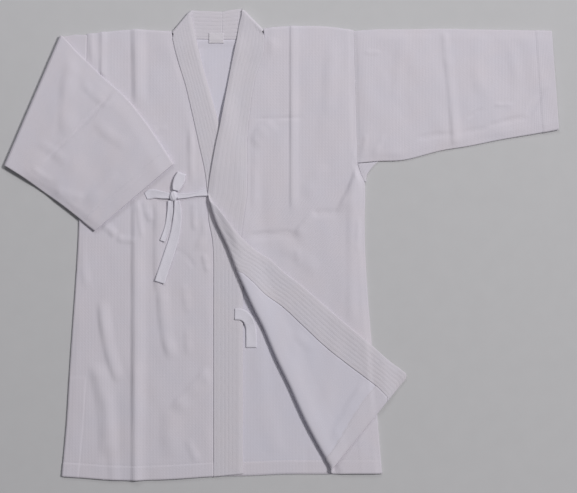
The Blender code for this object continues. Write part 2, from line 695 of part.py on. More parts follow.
def build_knot(collection, parent):
    """The knot where the outer ties meet."""
    bpy.ops.mesh.primitive_uv_sphere_add(segments=14, ring_count=8, radius=0.5 * MM)
    knot = bpy.context.active_object
    knot.name = "tie_knot"
    knot.data.name = "tie_knot"
    knot.data.transform(knot.matrix_world.inverted())
    knot.scale = KNOT_SIZE
    bpy.ops.object.transform_apply(location=False, rotation=False, scale=True)
    knot.location = KNOT_CENTRE * MM
    knot.data.materials.append(cotton("tie_knot", WHITE_RIBBON))
    knot.data.shade_smooth()
    for old in list(knot.users_collection):
        old.objects.unlink(knot)
    collection.objects.link(knot)
    knot.parent = parent


def build_inner_tie(collection, parent):
    """The inner tie is sewn at the under collar's edge and hangs down on the back."""
    def ground(x, y):
        on_collar = 1.0 - smooth((x - under_edge_x(y) - 1.0) / 6.0)
        return FRONT_BED + CROSSING_RISE * on_collar

    rows = [numbered(row) for row in ribbon_rows(INNER_TIE, 10, ground)]
    sheet("inner_tie", rows, RIBBON_WALL, WHITE_RIBBON, collection, parent)


def build_label(collection, parent):
    """The neck label is sewn to the nape of the collar and laps onto the back."""
    rows = []
    seam = 786.0
    high = COLLAR_WALL
    for y, z in ((LABEL_TOP, high), (seam, high), (seam - 3.0, high - 0.6), (LABEL_BOTTOM, 2.0)):
        rows.append(numbered([
            Vector((blend(LABEL_RIGHT, LABEL_LEFT, c / 2), y, z + SEAM_GAP)) for c in range(3)
        ]))
    sheet("neck_label", rows, LABEL_WALL, WHITE_RIBBON, collection, parent, flip=True)


def centre_on_origin(parent, pieces):
    """Moves the whole jacket so that the middle of its outline stands at the origin."""
    bpy.context.view_layer.update()
    graph = bpy.context.evaluated_depsgraph_get()
    corners = []
    for piece in pieces:
        evaluated = piece.evaluated_get(graph)
        corners += [evaluated.matrix_world @ Vector(corner) for corner in evaluated.bound_box]
    for axis in range(2):
        low = min(corner[axis] for corner in corners)
        high = max(corner[axis] for corner in corners)
        parent.location[axis] -= 0.5 * (low + high)


for leftover in list(bpy.data.objects):
    bpy.data.objects.remove(leftover, do_unlink=True)

jacket = bpy.data.collections.new("training_jacket")
bpy.context.scene.collection.children.link(jacket)
laid = bpy.data.objects.new("laid", None)
jacket.objects.link(laid)

build_back(jacket, laid)
build_under_front(jacket, laid)
build_over_front(jacket, laid)
build_under_collar(jacket, laid)
build_over_collar(jacket, laid)
build_left_sleeve(jacket, laid)
build_right_sleeve(jacket, laid)
build_gusset("gusset_left", "left", 1.0, 3.0, jacket, laid)
build_gusset("gusset_right", "right", -1.0, -0.7, jacket, laid)
build_ties(jacket, laid)
build_knot(jacket, laid)
build_inner_tie(jacket, laid)
build_label(jacket, laid)
centre_on_origin(laid, [piece for piece in jacket.objects if piece.type == "MESH"])
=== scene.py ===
"""White cotton training jacket, laid out flat: one sleeve folded over the chest, one front turned back.

Garment sizes are in millimetres: x from the centre line towards the wearer's left, y from the hem up to the
shoulders, z up from the floor. Cloth places are in millimetres too: across the cloth, then along its warp.
"""

import math
from collections import namedtuple

import bpy
import numpy as np
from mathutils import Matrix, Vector


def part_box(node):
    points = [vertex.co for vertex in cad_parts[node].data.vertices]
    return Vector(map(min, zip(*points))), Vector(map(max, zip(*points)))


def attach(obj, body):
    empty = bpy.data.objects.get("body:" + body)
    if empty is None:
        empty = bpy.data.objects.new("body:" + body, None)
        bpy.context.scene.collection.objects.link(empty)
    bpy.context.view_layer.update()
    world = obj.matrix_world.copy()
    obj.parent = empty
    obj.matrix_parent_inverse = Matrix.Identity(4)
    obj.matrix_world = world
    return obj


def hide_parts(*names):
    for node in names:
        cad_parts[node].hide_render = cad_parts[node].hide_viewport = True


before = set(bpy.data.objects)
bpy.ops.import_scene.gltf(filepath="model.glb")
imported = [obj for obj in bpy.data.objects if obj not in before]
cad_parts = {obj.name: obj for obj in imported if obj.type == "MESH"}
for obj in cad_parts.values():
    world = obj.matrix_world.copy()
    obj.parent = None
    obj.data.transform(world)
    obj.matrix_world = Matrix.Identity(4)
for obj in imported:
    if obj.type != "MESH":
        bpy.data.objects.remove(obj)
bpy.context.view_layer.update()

# The back: one piece of single-layer cotton from shoulder to hem and side to side, lying on the floor with
# its smoother inside up. It is woven with raised grains like rice, cut away at the neck, and its hem is
# turned up twice and stitched.
MM = 0.001
KNOT_X = -83.0
KNOT_Y = 504.0
JACKET_LENGTH = 800.0
CLOTH_WALL = 1.6
SEAM_GAP = 0.3
HEM_DEPTH = 25.0
HEM_LAYERS = 0.5
SLIT_HEM = 30.0
SLIT_TOP = 180.0
GROOVE_DEPTH = 0.4
GROOVE_WIDTH = 1.3
GRID_STEP = 3.0
GRAIN_LENGTH = 5.2
GRAIN_WIDTH = 2.6
CREASE_FADE = 30.0
NECK_ALLOWANCE = 1.0

Side = namedtuple("Side", "y right left")
SIDES = [
    Side(800, -239, 240), Side(562, -245, 247), Side(545, -249, 253), Side(527, -252, 260),
    Side(460, -253, 260), Side(400, -255.5, 261), Side(317, -261, 266), Side(209, -268.5, 275),
    Side(100, -275, 283), Side(0, -284, 291),
]
Edge = namedtuple("Edge", "x shoulder hem")
EDGES = [
    Edge(-283, 794, 0), Edge(-239, 794, -3), Edge(-198, 798, -6), Edge(-153, 801, -7), Edge(-90, 798, -5),
    Edge(-10, 798, 0), Edge(50, 800, 1), Edge(117, 806, 4), Edge(184, 807, 4), Edge(240, 801, 5),
    Edge(291, 801, 5),
]
Top = namedtuple("Top", "x y")
BACK_TOP = [
    Top(-239, 794), Top(-198, 798), Top(-153, 801), Top(-120, 799), Top(-90, 797.5), Top(-86, 795.8),
    Top(-70, 788.6), Top(-50, 785.8), Top(-25, 785.2), Top(0, 785), Top(25, 785.2), Top(50, 785.8),
    Top(66, 789.6), Top(76, 796), Top(80, 802), Top(117, 806), Top(150, 807), Top(184, 807),
    Top(212, 805), Top(240, 801),
]

# A soft crease runs from one place to another, bowed sideways by bend. It is wide to its left and to its
# right, seen along its run, and a negative height is a trough.
Crease = namedtuple("Crease", "x1 y1 x2 y2 bend left right height")
BACK_CREASES = [Crease(*row) for row in (
    (156, 105, 156, -25, 0, 2.2, 2.2, -0.5), (70, 240, 110, 30, 8, 22, 30, 0.8),
    (60, 330, 70, 170, -5, 14, 18, 0.6), (-20, 760, -5, 620, 4, 20, 16, 0.5),
)]

knot_low, knot_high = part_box("tie_knot")
OFFSET = np.array((knot_low + knot_high) / 2) / MM - np.array((KNOT_X, KNOT_Y, 0.0))
OFFSET[2] = 0.0


def smooth(value):
    value = np.clip(value, 0.0, 1.0)
    return value * value * (3.0 - 2.0 * value)


def blend(start, end, share):
    return start + (end - start) * share


def read(table, column, at, key="y"):
    """A column of a table at places between its rows, on a smooth curve through them."""
    rows = sorted(table, key=lambda row: getattr(row, key))
    places = np.array([getattr(row, key) for row in rows], float)
    values = np.array([getattr(row, column) for row in rows], float)
    low = np.maximum(np.arange(len(rows)) - 1, 0)
    high = np.minimum(np.arange(len(rows)) + 1, len(rows) - 1)
    slopes = (values[high] - values[low]) / (places[high] - places[low])
    at = np.clip(at, places[0], places[-1])
    i = np.clip(np.searchsorted(places, at, side="right") - 1, 0, len(rows) - 2)
    span = places[i + 1] - places[i]
    t = (at - places[i]) / span
    return (
        values[i] * (1 + 2 * t) * (1 - t) ** 2
        + values[i + 1] * t * t * (3 - 2 * t)
        + span * (slopes[i] * t * (1 - t) ** 2 - slopes[i + 1] * t * t * (1 - t))
    )


def side_x(column, y):
    """The panels' outer edge: straight along the armhole, then down the side seam."""
    top, under = SIDES[0], SIDES[1]
    straight = blend(getattr(under, column), getattr(top, column), (y - under.y) / (top.y - under.y))
    return np.where(y > under.y, straight, read(SIDES[1:], column, y))


def panel_level(x, level):
    """Height of a cross thread: level, but for its curve near the shoulder and near the hem."""
    shoulder = read(EDGES, "shoulder", x, key="x") - JACKET_LENGTH
    hem = read(EDGES, "hem", x, key="x")
    return level + shoulder * smooth((level - 650.0) / 150.0) + hem * smooth((150.0 - level) / 150.0)


def creased(x, y, creases):
    """How far a table of creases lifts or sinks the cloth at places."""
    lift = np.zeros(np.broadcast(x, y).shape)
    for crease in creases:
        run_x, run_y = crease.x2 - crease.x1, crease.y2 - crease.y1
        length = math.hypot(run_x, run_y)
        along = ((x - crease.x1) * run_x + (y - crease.y1) * run_y) / length ** 2
        off = ((x - crease.x1) * run_y - (y - crease.y1) * run_x) / length
        off = off - crease.bend * 4.0 * along * (1.0 - along)
        width = np.where(off > 0.0, crease.right, crease.left)
        fade = min(0.25 * length, CREASE_FADE) / length
        ends = smooth(along / fade) * smooth((1.0 - along) / fade)
        uneven = 1.0 + 0.2 * np.sin(along * 8.0 + crease.x1) + 0.1 * np.sin(along * 19.0 + crease.y1)
        lift += crease.height * ends * uneven * smooth(1.0 - np.abs(off) / width)
    return lift


def slack(x, y, seed, height):
    """The cloth's own unevenness: shallow swells that run every way and never go under the bed."""
    turn = np.random.default_rng(seed)
    swell = np.zeros(np.broadcast(x, y).shape)
    for span in (150.0, 118.0, 92.0, 74.0, 57.0, 44.0, 33.0):
        angle = turn.uniform(-0.9, 0.9)
        phase = turn.uniform(0.0, 2.0 * math.pi)
        wobble = 0.6 * np.sin(y / 61.0 + phase) + 0.5 * np.sin(x / 47.0 - phase)
        run = (x * math.cos(angle) + y * math.sin(angle)) * 2.0 * math.pi / span
        swell += span / 100.0 * np.sin(run + phase + wobble)
    return height * (0.5 + 0.16 * swell).clip(0.0, 1.2)


def groove(distance):
    """The dent that a row of stitches pulls into the cloth, by distance from the row."""
    return -GROOVE_DEPTH * np.exp(-((distance / GROOVE_WIDTH) ** 2))


def hem_relief(level, depth):
    """A turned-up hem: a little thicker than the cloth, down from its row of stitches."""
    return HEM_LAYERS * smooth((depth + 1.5 - level) / 3.0) + groove(level - depth)


def spaced(start, end, step, fine=()):
    """Places from start to end about a step apart, and closer beside the rows of stitches in fine."""
    count = max(2, int(round(abs(end - start) / step)))
    places = list(np.linspace(start, end, count + 1))
    low, high = min(start, end), max(start, end)
    for row in fine:
        places = [p for p in places if abs(p - row) > 2.6 or p in (start, end)]
        places += [row + off for off in (-2.4, -1.2, 0.0, 1.2, 2.4) if low < row + off < high]
    return np.array(sorted(places, reverse=end < start))


def grid(*parts):
    """Coordinates side by side for each place of a grid, over which a row, a column or a number is spread."""
    return np.stack(np.broadcast_arrays(*parts), axis=-1)


def lengths(line):
    """How far along a line each of its places lies."""
    return np.concatenate([[0.0], np.cumsum(np.linalg.norm(np.diff(line, axis=0), axis=1))])


def add_piece(name, points, faces, slots):
    """A smooth mesh from places in garment millimetres, added to the scene and fixed to the jacket."""
    mesh = bpy.data.meshes.new(name)
    mesh.from_pydata((np.concatenate(points) + OFFSET) * MM, [], faces)
    mesh.polygons.foreach_set("use_smooth", np.ones(len(faces), bool))
    for slot in slots:
        mesh.materials.append(slot)
    piece = bpy.data.objects.new(name, mesh)
    bpy.context.scene.collection.objects.link(piece)
    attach(piece, "root")
    return piece


def shell(name, face, wall, place, side, slots, closed=False, lift=0.0, turned_up=None):
    """A closed cloth wall over a grid of places on one face, grown by wall to that side of it.

    The edges are rounded like a fold. slots are the materials of the given face and of the grown one, and
    lift is how far the given face stands out from its grid. A closed grid is a tube, whose last column comes
    back to its first. turned_up is the slot of the inner face, and where a hem folds the outer face over it.
    """
    count_down, count_across = face.shape[:2]
    if closed:
        around = np.concatenate([face[:, -1:], face, face[:, :1]], axis=1)
        across = np.gradient(around, axis=1)[:, 1:-1]
    else:
        across = np.gradient(face, axis=1)
    normal = np.cross(across, np.gradient(face, axis=0))
    normal *= side / np.maximum(np.linalg.norm(normal, axis=2, keepdims=True), 1e-9)
    wall = np.broadcast_to(wall, face.shape[:2])[..., None]
    grown = face + normal * wall
    given = face - normal * np.broadcast_to(lift, face.shape[:2])[..., None]

    index = np.arange(count_down * count_across).reshape(count_down, count_across)
    if closed:
        index = np.concatenate([index, index[:, :1]], axis=1)
    corners = grid(index[:-1, :-1], index[:-1, 1:], index[1:, 1:], index[1:, :-1]).reshape(-1, 4)
    if side < 0:
        corners = corners[:, ::-1]
    size = count_down * count_across
    quads = [corners[:, ::-1], corners + size]
    finish = [np.full(len(corners), 0), np.full(len(corners), 1)]
    if turned_up is not None:
        inner_slot, hem = turned_up
        finish[inner_slot][hem.ravel()] = 1 - inner_slot

    if closed:
        loops = [index[0, :-1], index[-1, :-1][::-1]]
        inner = [index[1, :-1], index[-2, :-1][::-1]]
    else:
        loops = [np.concatenate([index[0, :-1], index[:-1, -1], index[-1, :0:-1], index[:0:-1, 0]])]
        rows, columns = np.divmod(loops[0], count_across)
        inner = [index[rows.clip(1, count_down - 2), columns.clip(1, count_across - 2)]]
    flat_face = given.reshape(-1, 3)
    flat_grown = grown.reshape(-1, 3)
    points = [flat_face, flat_grown]
    total = 2 * size
    source = [np.arange(size), np.arange(size)]
    for loop, beside in zip(loops, inner):
        out = flat_face[loop] - flat_face[beside]
        out /= np.maximum(np.linalg.norm(out, axis=1, keepdims=True), 1e-9)
        middle = 0.5 * (flat_face[loop] + flat_grown[loop]) + out * 0.3 * wall.reshape(-1, 1)[loop]
        points.append(middle)
        source.append(loop)
        here = total + np.arange(len(loop))
        after = np.roll(here, -1)
        loop_after = np.roll(loop, -1)
        rim = grid(loop, loop_after, after, here)
        rim_grown = grid(here, after, loop_after + size, loop + size)
        if side < 0:
            rim, rim_grown = rim[:, ::-1], rim_grown[:, ::-1]
        quads += [rim, rim_grown]
        finish += [np.full(len(rim), 0), np.full(len(rim_grown), 1)]
        total += len(loop)
    quads = np.concatenate(quads)
    piece = add_piece(name, points, quads, slots)
    piece.data.polygons.foreach_set("material_index", np.concatenate(finish).astype(np.int32))
    across_place = place.reshape(-1, 2)[np.concatenate(source)]
    spots = across_place[quads.ravel()].reshape(-1, 4, 2)
    if closed:
        last, before_last = (place[:, -k, 1] - place[:, 0, 1] for k in (1, 2))
        turn_length = 2.0 * last.mean() - before_last.mean()
        jump = np.ptp(spots[..., 1], axis=1) > 0.5 * turn_length
        wrapped = spots[jump]
        wrapped[..., 1] += np.where(wrapped[..., 1] < 0.5 * turn_length, turn_length, 0.0)
        spots[jump] = wrapped
    piece.data.uv_layers.new(name="cloth").data.foreach_set("uv", spots.astype(np.float32).ravel())
    return piece, grown, normal


def plain(name, **settings):
    """A new material and its shader, whose own sockets are set to constants."""
    material = bpy.data.materials.new(name)
    material.use_nodes = True
    shader = material.node_tree.nodes["Principled BSDF"]
    for socket, value in settings.items():
        shader.inputs[socket.replace("_", " ")].default_value = value
    return material, shader


def texture(material, kind, name, vector, **settings):
    """A named node that turns places into a pattern or into other places."""
    node = material.node_tree.nodes.new("ShaderNode" + kind)
    node.name = name
    for socket, value in settings.items():
        node.inputs[socket.replace("_", " ")].default_value = value
    material.node_tree.links.new(vector, node.inputs["Vector"])
    return node.outputs["Vector" if kind == "Mapping" else "Fac"]


def cloth_places(material):
    """Where each point lies on the cloth, in millimetres."""
    places = material.node_tree.nodes.new("ShaderNodeUVMap")
    places.uv_map = "cloth"
    return places.outputs["UV"]


def arithmetic(material, name, operation, first, second, third=None):
    """A named sum of two or three numbers, each a constant or another node's output."""
    node = material.node_tree.nodes.new("ShaderNodeMath")
    node.name = name
    node.operation = operation
    for socket, value in zip(node.inputs, (first, second, third)):
        if isinstance(value, float):
            socket.default_value = value
        elif value is not None:
            material.node_tree.links.new(value, socket)
    return node.outputs["Value"]


def mixed(material, name, factor, first, second):
    """A colour blended between two colours, or between another node's colour and a colour."""
    links = material.node_tree.links
    mix = material.node_tree.nodes.new("ShaderNodeMix")
    mix.name = name
    mix.data_type = "RGBA"
    links.new(factor, mix.inputs["Factor"])
    mix.inputs["B"].default_value = (*second, 1.0)
    if isinstance(first, bpy.types.NodeSocket):
        links.new(first, mix.inputs["A"])
    else:
        mix.inputs["A"].default_value = (*first, 1.0)
    return mix.outputs["Result"]


def finish_material(material, shader, colour, height, strength, depth):
    """The shader with its colour, and with bumps up to depth millimetres from a height."""
    links = material.node_tree.links
    links.new(colour, shader.inputs["Base Color"])
    bump = material.node_tree.nodes.new("ShaderNodeBump")
    bump.inputs["Strength"].default_value = strength
    bump.inputs["Distance"].default_value = depth * MM
    links.new(height, bump.inputs["Height"])
    links.new(bump.outputs["Normal"], shader.inputs["Normal"])


def shaded(colour, share):
    return tuple(c * share for c in colour)


def cotton(name, colour, grain_depth):
    """Off-white cotton: staggered raised grains along the warp with painted shade in the gaps between them,
    thicker yarns here and there, soft fuzz.
    """
    material, shader = plain(
        name, Roughness=0.92, Sheen_Weight=0.12, Sheen_Roughness=0.5, Specular_IOR_Level=0.2
    )
    cloth = cloth_places(material)
    turned = texture(
        material, "Mapping", "grains run along the warp", cloth, Rotation=(0.0, 0.0, math.radians(90))
    )
    grains = texture(
        material, "TexBrick", "grains", turned, Scale=1.0, Brick_Width=GRAIN_LENGTH, Row_Height=GRAIN_WIDTH,
        Mortar_Size=0.5, Mortar_Smooth=1.0,
    )
    drawn_out = texture(material, "Mapping", "yarns are long along the warp", cloth, Scale=(0.55, 0.06, 1.0))
    yarns = texture(material, "TexNoise", "yarns", drawn_out, Scale=1.0, Detail=4.0, Roughness=0.6)
    clouds = texture(material, "TexNoise", "uneven bleaching", cloth, Scale=0.014, Detail=2.0)

    warm = (colour[0] * 1.03, colour[1] * 1.0, colour[2] * 0.98)
    cool = (colour[0] * 0.97, colour[1] * 0.99, colour[2] * 1.02)
    darker = shaded(colour, 0.86)
    streak = material.node_tree.nodes.new("ShaderNodeMapRange")
    streak.name = "thin yarns"
    streak.inputs["From Min"].default_value = 0.35
    streak.inputs["From Max"].default_value = 0.75
    streak.inputs["To Max"].default_value = 0.15
    material.node_tree.links.new(yarns, streak.inputs["Value"])
    ground = mixed(material, "bleaching", clouds, warm, cool)
    streaked = mixed(material, "yarn colour", streak.outputs["Result"], ground, darker)
    # Painted shade: the colour is darkened in the gaps between the grains, where shade falls between them.
    painted_gap_shade = arithmetic(material, "shade between grains", "MULTIPLY", grains, 0.22)
    height = arithmetic(material, "grains stand up", "MULTIPLY_ADD", grains, -2.0, yarns)
    coloured = mixed(material, "painted shade in the grain gaps", painted_gap_shade, streaked, darker)
    finish_material(material, shader, coloured, height, 0.5, 0.5 * grain_depth)
    return material


OUTSIDE_COTTON = cotton("outside_cotton", (0.76, 0.727, 0.79), 0.35)
INSIDE_COTTON = cotton("inside_cotton", (0.75, 0.73, 0.81), 0.2)


def back_cloth():
    """Places on the back's underside, row by row from the neck down."""
    levels = spaced(JACKET_LENGTH, 0.0, 4.0, fine=[HEM_DEPTH])
    tops = spaced(BACK_TOP[0].x, BACK_TOP[-1].x, 4.0)
    top, level = np.meshgrid(tops, levels)
    share = (top - BACK_TOP[0].x) / (BACK_TOP[-1].x - BACK_TOP[0].x)
    x = blend(side_x("right", level), side_x("left", level), share)
    upper = 700.0 + (level - 700.0) / 100.0 * (read(BACK_TOP, "y", top, key="x") - 700.0)
    y = np.where(level > 700.0, upper, np.where(level < 500.0, panel_level(x, level), level))
    return x, y, level


x, y, level = back_cloth()
back_levels = level[:, 0]
relief = hem_relief(level, HEM_DEPTH) + 0.5 * slack(x, y, 3, 1.0) + creased(x, y, BACK_CREASES)
neck = NECK_ALLOWANCE * smooth((y - 770.0) / 12.0) * smooth((75.0 - np.abs(x)) / 15.0)
wall = CLOTH_WALL - 0.3 + np.minimum(relief, 1.2) + neck
back, back_inside, back_up = shell(
    "back_cloth", grid(x, y, 0.0), wall, grid(x, level), -1.0, [OUTSIDE_COTTON, INSIDE_COTTON],
    turned_up=(1, level[1:, 1:] < HEM_DEPTH),
)
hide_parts("back_panel")

# The wearer's right front: one piece of the same cotton, lying on the back with its outer face up. It is
# folded over from the back at the shoulder and sewn to it down the side; below that the side is open and
# hemmed, as the bottom edge is.
COLLAR_WALL = 3.2
FRONT_BED = CLOTH_WALL + SEAM_GAP
NAPE_FOLD_RADIUS = 0.8
UNDER_WIDTH = 257.0
NEAR_SIDE = 60.0
COVERED_LIFT = 0.8
STITCH_PITCH = 3.3
STITCH_LENGTH = 2.6
THREAD_RADIUS = 0.33

Band = namedtuple("Band", "seam_x seam_y edge_x edge_y")
UNDER_COLLAR = [Band(*row) for row in (
    (-86.5, 798.5, -53.5, 838), (-81, 772, -47, 806), (-73, 742, -39, 770), (-62, 706, -28, 726),
    (-50, 655, -12, 670), (-38, 601, 4, 611), (-25, 538, 20, 545), (-20, 464, 32, 468), (-13, 425, 38, 427),
    (-11, 389, 40, 390), (-11, 300, 41, 300), (-11, 150, 41, 152), (-11, 0, 41, 5),
)]
UNDER_CREASES = [Crease(*row) for row in (
    (-153, 507, -153, -150, 0, 24, 7.6, 3.4), (-154, 210, -154, -120, 0, 16, 30, 1.3),
    (-112, 500, -111, 322, 2, 22, 9, 2.0), (-106, 345, -86, 204, 6, 20, 11, 2.4),
    (-214, 322, -182, 165, 7, 20, 10, 2.8), (-226, 208, -206, 30, -8, 28, 18, 2.6),
    (-206, 160, -186, -60, 0, 16, 12, 1.0), (-18, 200, -92, 118, -3, 34, 11, 2.4),
    (-90, 140, -92, 30, 0, 30, 22, 1.7), (-60, 70, -40, 22, 0, 12, 9, 1.0),
    (-88, 411, -44, 374, -6, 5, 8, -1.5), (-31, 402, -22, 366, 0, 10, 6, 1.3),
    (-24, 466, -44, 404, -4, 16, 10, 1.2), (-48, 496, -46, 438, 0, 9, 7, 1.2),
    (-51, 636, -49, 520, 2, 10, 9, 1.7), (-60, 272, -58, 214, 0, 14, 8, 0.9),
    (-66, 350, -58, 290, 0, 14, 9, 0.8), (-212.5, 850, -212.5, 668, 0, 13, 4.5, 1.9),
    (-154, 860, -149, 655, -1, 22, 11, 3.0), (-233, 850, -230, 740, 3, 11, 5, 2.0),
    (-126, 618, -92, 628, 0, 10, 9, 0.8), (-150, 500, -140, 425, 0, 8, 5, 1.2),
    (-212, 452, -188, 430, -3, 12, 9, 1.8), (-188, 430, -150, 424, 2, 10, 9, 1.4),
    (-250, 440, -236, 330, 4, 14, 10, 0.8), (-136, 500, -122, 455, 2, 12, 10, 1.6),
)]

# The folded sleeve lies over this front between these two lines and keeps it flat.
Cover = namedtuple("Cover", "x top low")
SLEEVE_COVER = [
    Cover(-287, 793, 487), Cover(-225, 732, 441), Cover(-206, 714, 457), Cover(-168, 680, 490),
    Cover(-125, 626, 526), Cover(-83, 562, 562), Cover(-60, 540, 590),
]


def collar_bed(x, y):
    """The underside of a collar, the same all across: it climbs onto its own nape near the shoulder fold."""
    nape = smooth((y - 735.0) / 42.0) * (COLLAR_WALL - CLOTH_WALL + 0.1)
    fold = smooth((y - 795.0) / 40.0) * (2 * NAPE_FOLD_RADIUS - SEAM_GAP)
    return FRONT_BED + nape + fold


def neck_rise(x, y):
    """How far the fronts rise beside the neck, to meet their collars."""
    return (collar_bed(x, y) - FRONT_BED) * smooth((160.0 - np.abs(x)) / 70.0)


def under_lift(x, y):
    """How far the right front stands up from its bed, but for seams, where it is held down."""
    seam = read(UNDER_COLLAR, "seam_x", y, key="seam_y")
    held = smooth((x - side_x("right", y)) / 12.0) * smooth((seam - x) / 13.0)
    above = smooth((y - read(SLEEVE_COVER, "top", x, key="x") - 1.0) / 8.0)
    below = smooth((read(SLEEVE_COVER, "low", x, key="x") - 1.0 - y) / 8.0)
    lift = slack(x, y, 11, 1.1) + creased(x, y, UNDER_CREASES)
    return held * np.maximum(np.minimum(lift, COVERED_LIFT + 10.0 * np.maximum(above, below)), -0.2)


def from_side(across, width, nominal):
    """Distance of a warp yarn from the side: fixed near the side, then spread over the width there is."""
    spread = (across - NEAR_SIDE) * (width - NEAR_SIDE) / (nominal - NEAR_SIDE)
    return np.where(across < NEAR_SIDE, across, NEAR_SIDE + spread)


SHOULDER_ROLL = np.radians((180, 155, 125, 95, 65, 35))
ROLLED_ROWS = len(SHOULDER_ROLL)


def over_shoulder(face, place):
    """A front with its top edge rolled down to the back, as it is folded at the shoulder."""
    radius = 0.5 * (face[0, :, 2] - CLOTH_WALL) + 0.08
    rows, spots = [], []
    for angle in SHOULDER_ROLL:
        row = face[0].copy()
        row[:, 1] += radius * np.sin(angle)
        row[:, 2] -= radius * (1.0 - np.cos(angle))
        rows.append(row)
        spots.append(place[0] + np.array((0.0, 1.7 * angle)))
    return np.concatenate([rows, face]), np.concatenate([spots, place])


def nearest(places, at):
    return int(np.argmin(np.abs(places - at)))


def at_length(at, reach, line):
    """The places on a line at given lengths along it, where reach is the length at each of its own."""
    return np.stack([np.interp(at, reach, line[:, k]) for k in range(3)], axis=-1)


def stitches(name, lines, thread):
    """Rows of stitches along lines on the cloth, each stitch a short plump spindle of thread."""
    points, faces = [], []
    total = 0
    for line, up in lines:
        reach = lengths(line)
        middles = (np.arange(int(reach[-1] / STITCH_PITCH)) + 0.5) * STITCH_PITCH
        half = 0.5 * STITCH_LENGTH
        start, middle, end = (at_length(middles + off, reach, line) for off in (-half, 0.0, half))
        rise = at_length(middles, reach, up)
        side = np.cross(end - start, rise)
        side *= THREAD_RADIUS / np.maximum(np.linalg.norm(side, axis=1, keepdims=True), 1e-9)
        middle = middle + 0.12 * rise
        ring = [middle + THREAD_RADIUS * rise, middle + side, middle - THREAD_RADIUS * rise, middle - side]
        spindle = np.stack([start - 0.2 * rise, end - 0.2 * rise] + ring, axis=1).reshape(-1, 3)
        points.append(spindle)
        first = total + 6 * np.arange(len(middles))[:, None]
        total += len(spindle)
        for a, b in ((2, 3), (3, 4), (4, 5), (5, 2)):
            faces.append(first + np.array((0, b, a)))
            faces.append(first + np.array((1, a, b)))
    piece = add_piece(name, points, np.concatenate(faces), [thread])
    return piece


def sewing_thread(name, colour):
    """White sewing thread: two plies twisted together, a little glossier than the cloth."""
    material, shader = plain(name, Roughness=0.6, Sheen_Weight=0.1)
    places = material.node_tree.nodes.new("ShaderNodeTexCoord").outputs["Object"]
    plies = texture(material, "TexNoise", "plies", places, Scale=900.0, Detail=3.0)
    coloured = mixed(material, "ply colour", plies, shaded(colour, 0.82), colour)
    finish_material(material, shader, coloured, plies, 0.4, 0.1)
    return material


THREAD = sewing_thread("sewing_thread", (0.74, 0.73, 0.77))

levels = spaced(JACKET_LENGTH, 0.0, GRID_STEP, fine=[HEM_DEPTH])
acrosses = spaced(0.0, UNDER_WIDTH, GRID_STEP, fine=[SLIT_HEM])
across, level = np.meshgrid(acrosses, levels)
outer_x = side_x("right", level)
width = read(UNDER_COLLAR, "seam_x", level, key="seam_y") - SEAM_GAP - outer_x
x = outer_x + from_side(across, width, UNDER_WIDTH)
y = panel_level(x, level)
z = FRONT_BED + neck_rise(x, y) + under_lift(x, y)
slit = smooth((SLIT_TOP - level) / 4.0)
relief = hem_relief(level, HEM_DEPTH) + slit * hem_relief(across, SLIT_HEM)
face, place = over_shoulder(grid(x, y, z), grid(x, level))
wall = CLOTH_WALL + np.concatenate([np.zeros((ROLLED_ROWS, len(acrosses))), relief])
right_front, right_outer, right_up = shell(
    "right_front_cloth", face, wall, place, -1.0, [INSIDE_COTTON, OUTSIDE_COTTON]
)
hem_row = ROLLED_ROWS + nearest(levels, HEM_DEPTH)
slit_column = nearest(acrosses, SLIT_HEM)
slit_rows = slice(ROLLED_ROWS + nearest(levels, SLIT_TOP), hem_row)
right_stitches = stitches("right_front_stitches", [
    (right_outer[hem_row, slit_column:], right_up[hem_row, slit_column:]),
    (right_outer[slit_rows, slit_column], right_up[slit_rows, slit_column]),
], THREAD)
back_hem = nearest(back_levels, HEM_DEPTH)
stitches("back_stitches", [(back_inside[back_hem], back_up[back_hem])], THREAD)
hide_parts("front_under")

# The wearer's left front: the same piece mirrored. It crosses the other front at the breast, and below the
# ties it rolls over and comes back inside out, so that its inside and its hem show.
CROSSING_RISE = COLLAR_WALL + SEAM_GAP
FRONT_FOLD_RADIUS = 5.5
ROLL_SEAM_GAP = 0.8
FOLD_DOWN = (0.427, -0.904)
FOLD_OUT = (0.904, 0.427)
FOLD_ARC = math.pi * FRONT_FOLD_RADIUS / FOLD_OUT[0]
FOLD_EDGE = FRONT_FOLD_RADIUS / FOLD_OUT[0]
FOLD_TAKE_UP = FOLD_ARC - FOLD_EDGE
FOLD_HEM_LIFT = 9.0
TURN_HEAP = 5.0
LEFT_COLUMNS = 104
FLAP_HEM_GAIN = 15.0
FLAP_HEM_RISE = 0.9
SEAM_ALLOWANCE = 1.2
ARMHOLE_ALLOWANCE = 0.5
LEFT_SLIT_HEM = 38.0

OVER_COLLAR = [Band(*row) for row in (
    (78.5, 803, 42.5, 840), (80, 774, 35, 812), (74, 746, 30.3, 784), (65, 722, 23, 750),
    (59, 695, 15.8, 713), (55, 668, 9.8, 681), (50, 623, 0.6, 632), (48, 590, -7.4, 595),
    (49, 560, -13.5, 562), (48.6, 533, -18.5, 533), (48, 504, -22, 504),
)]

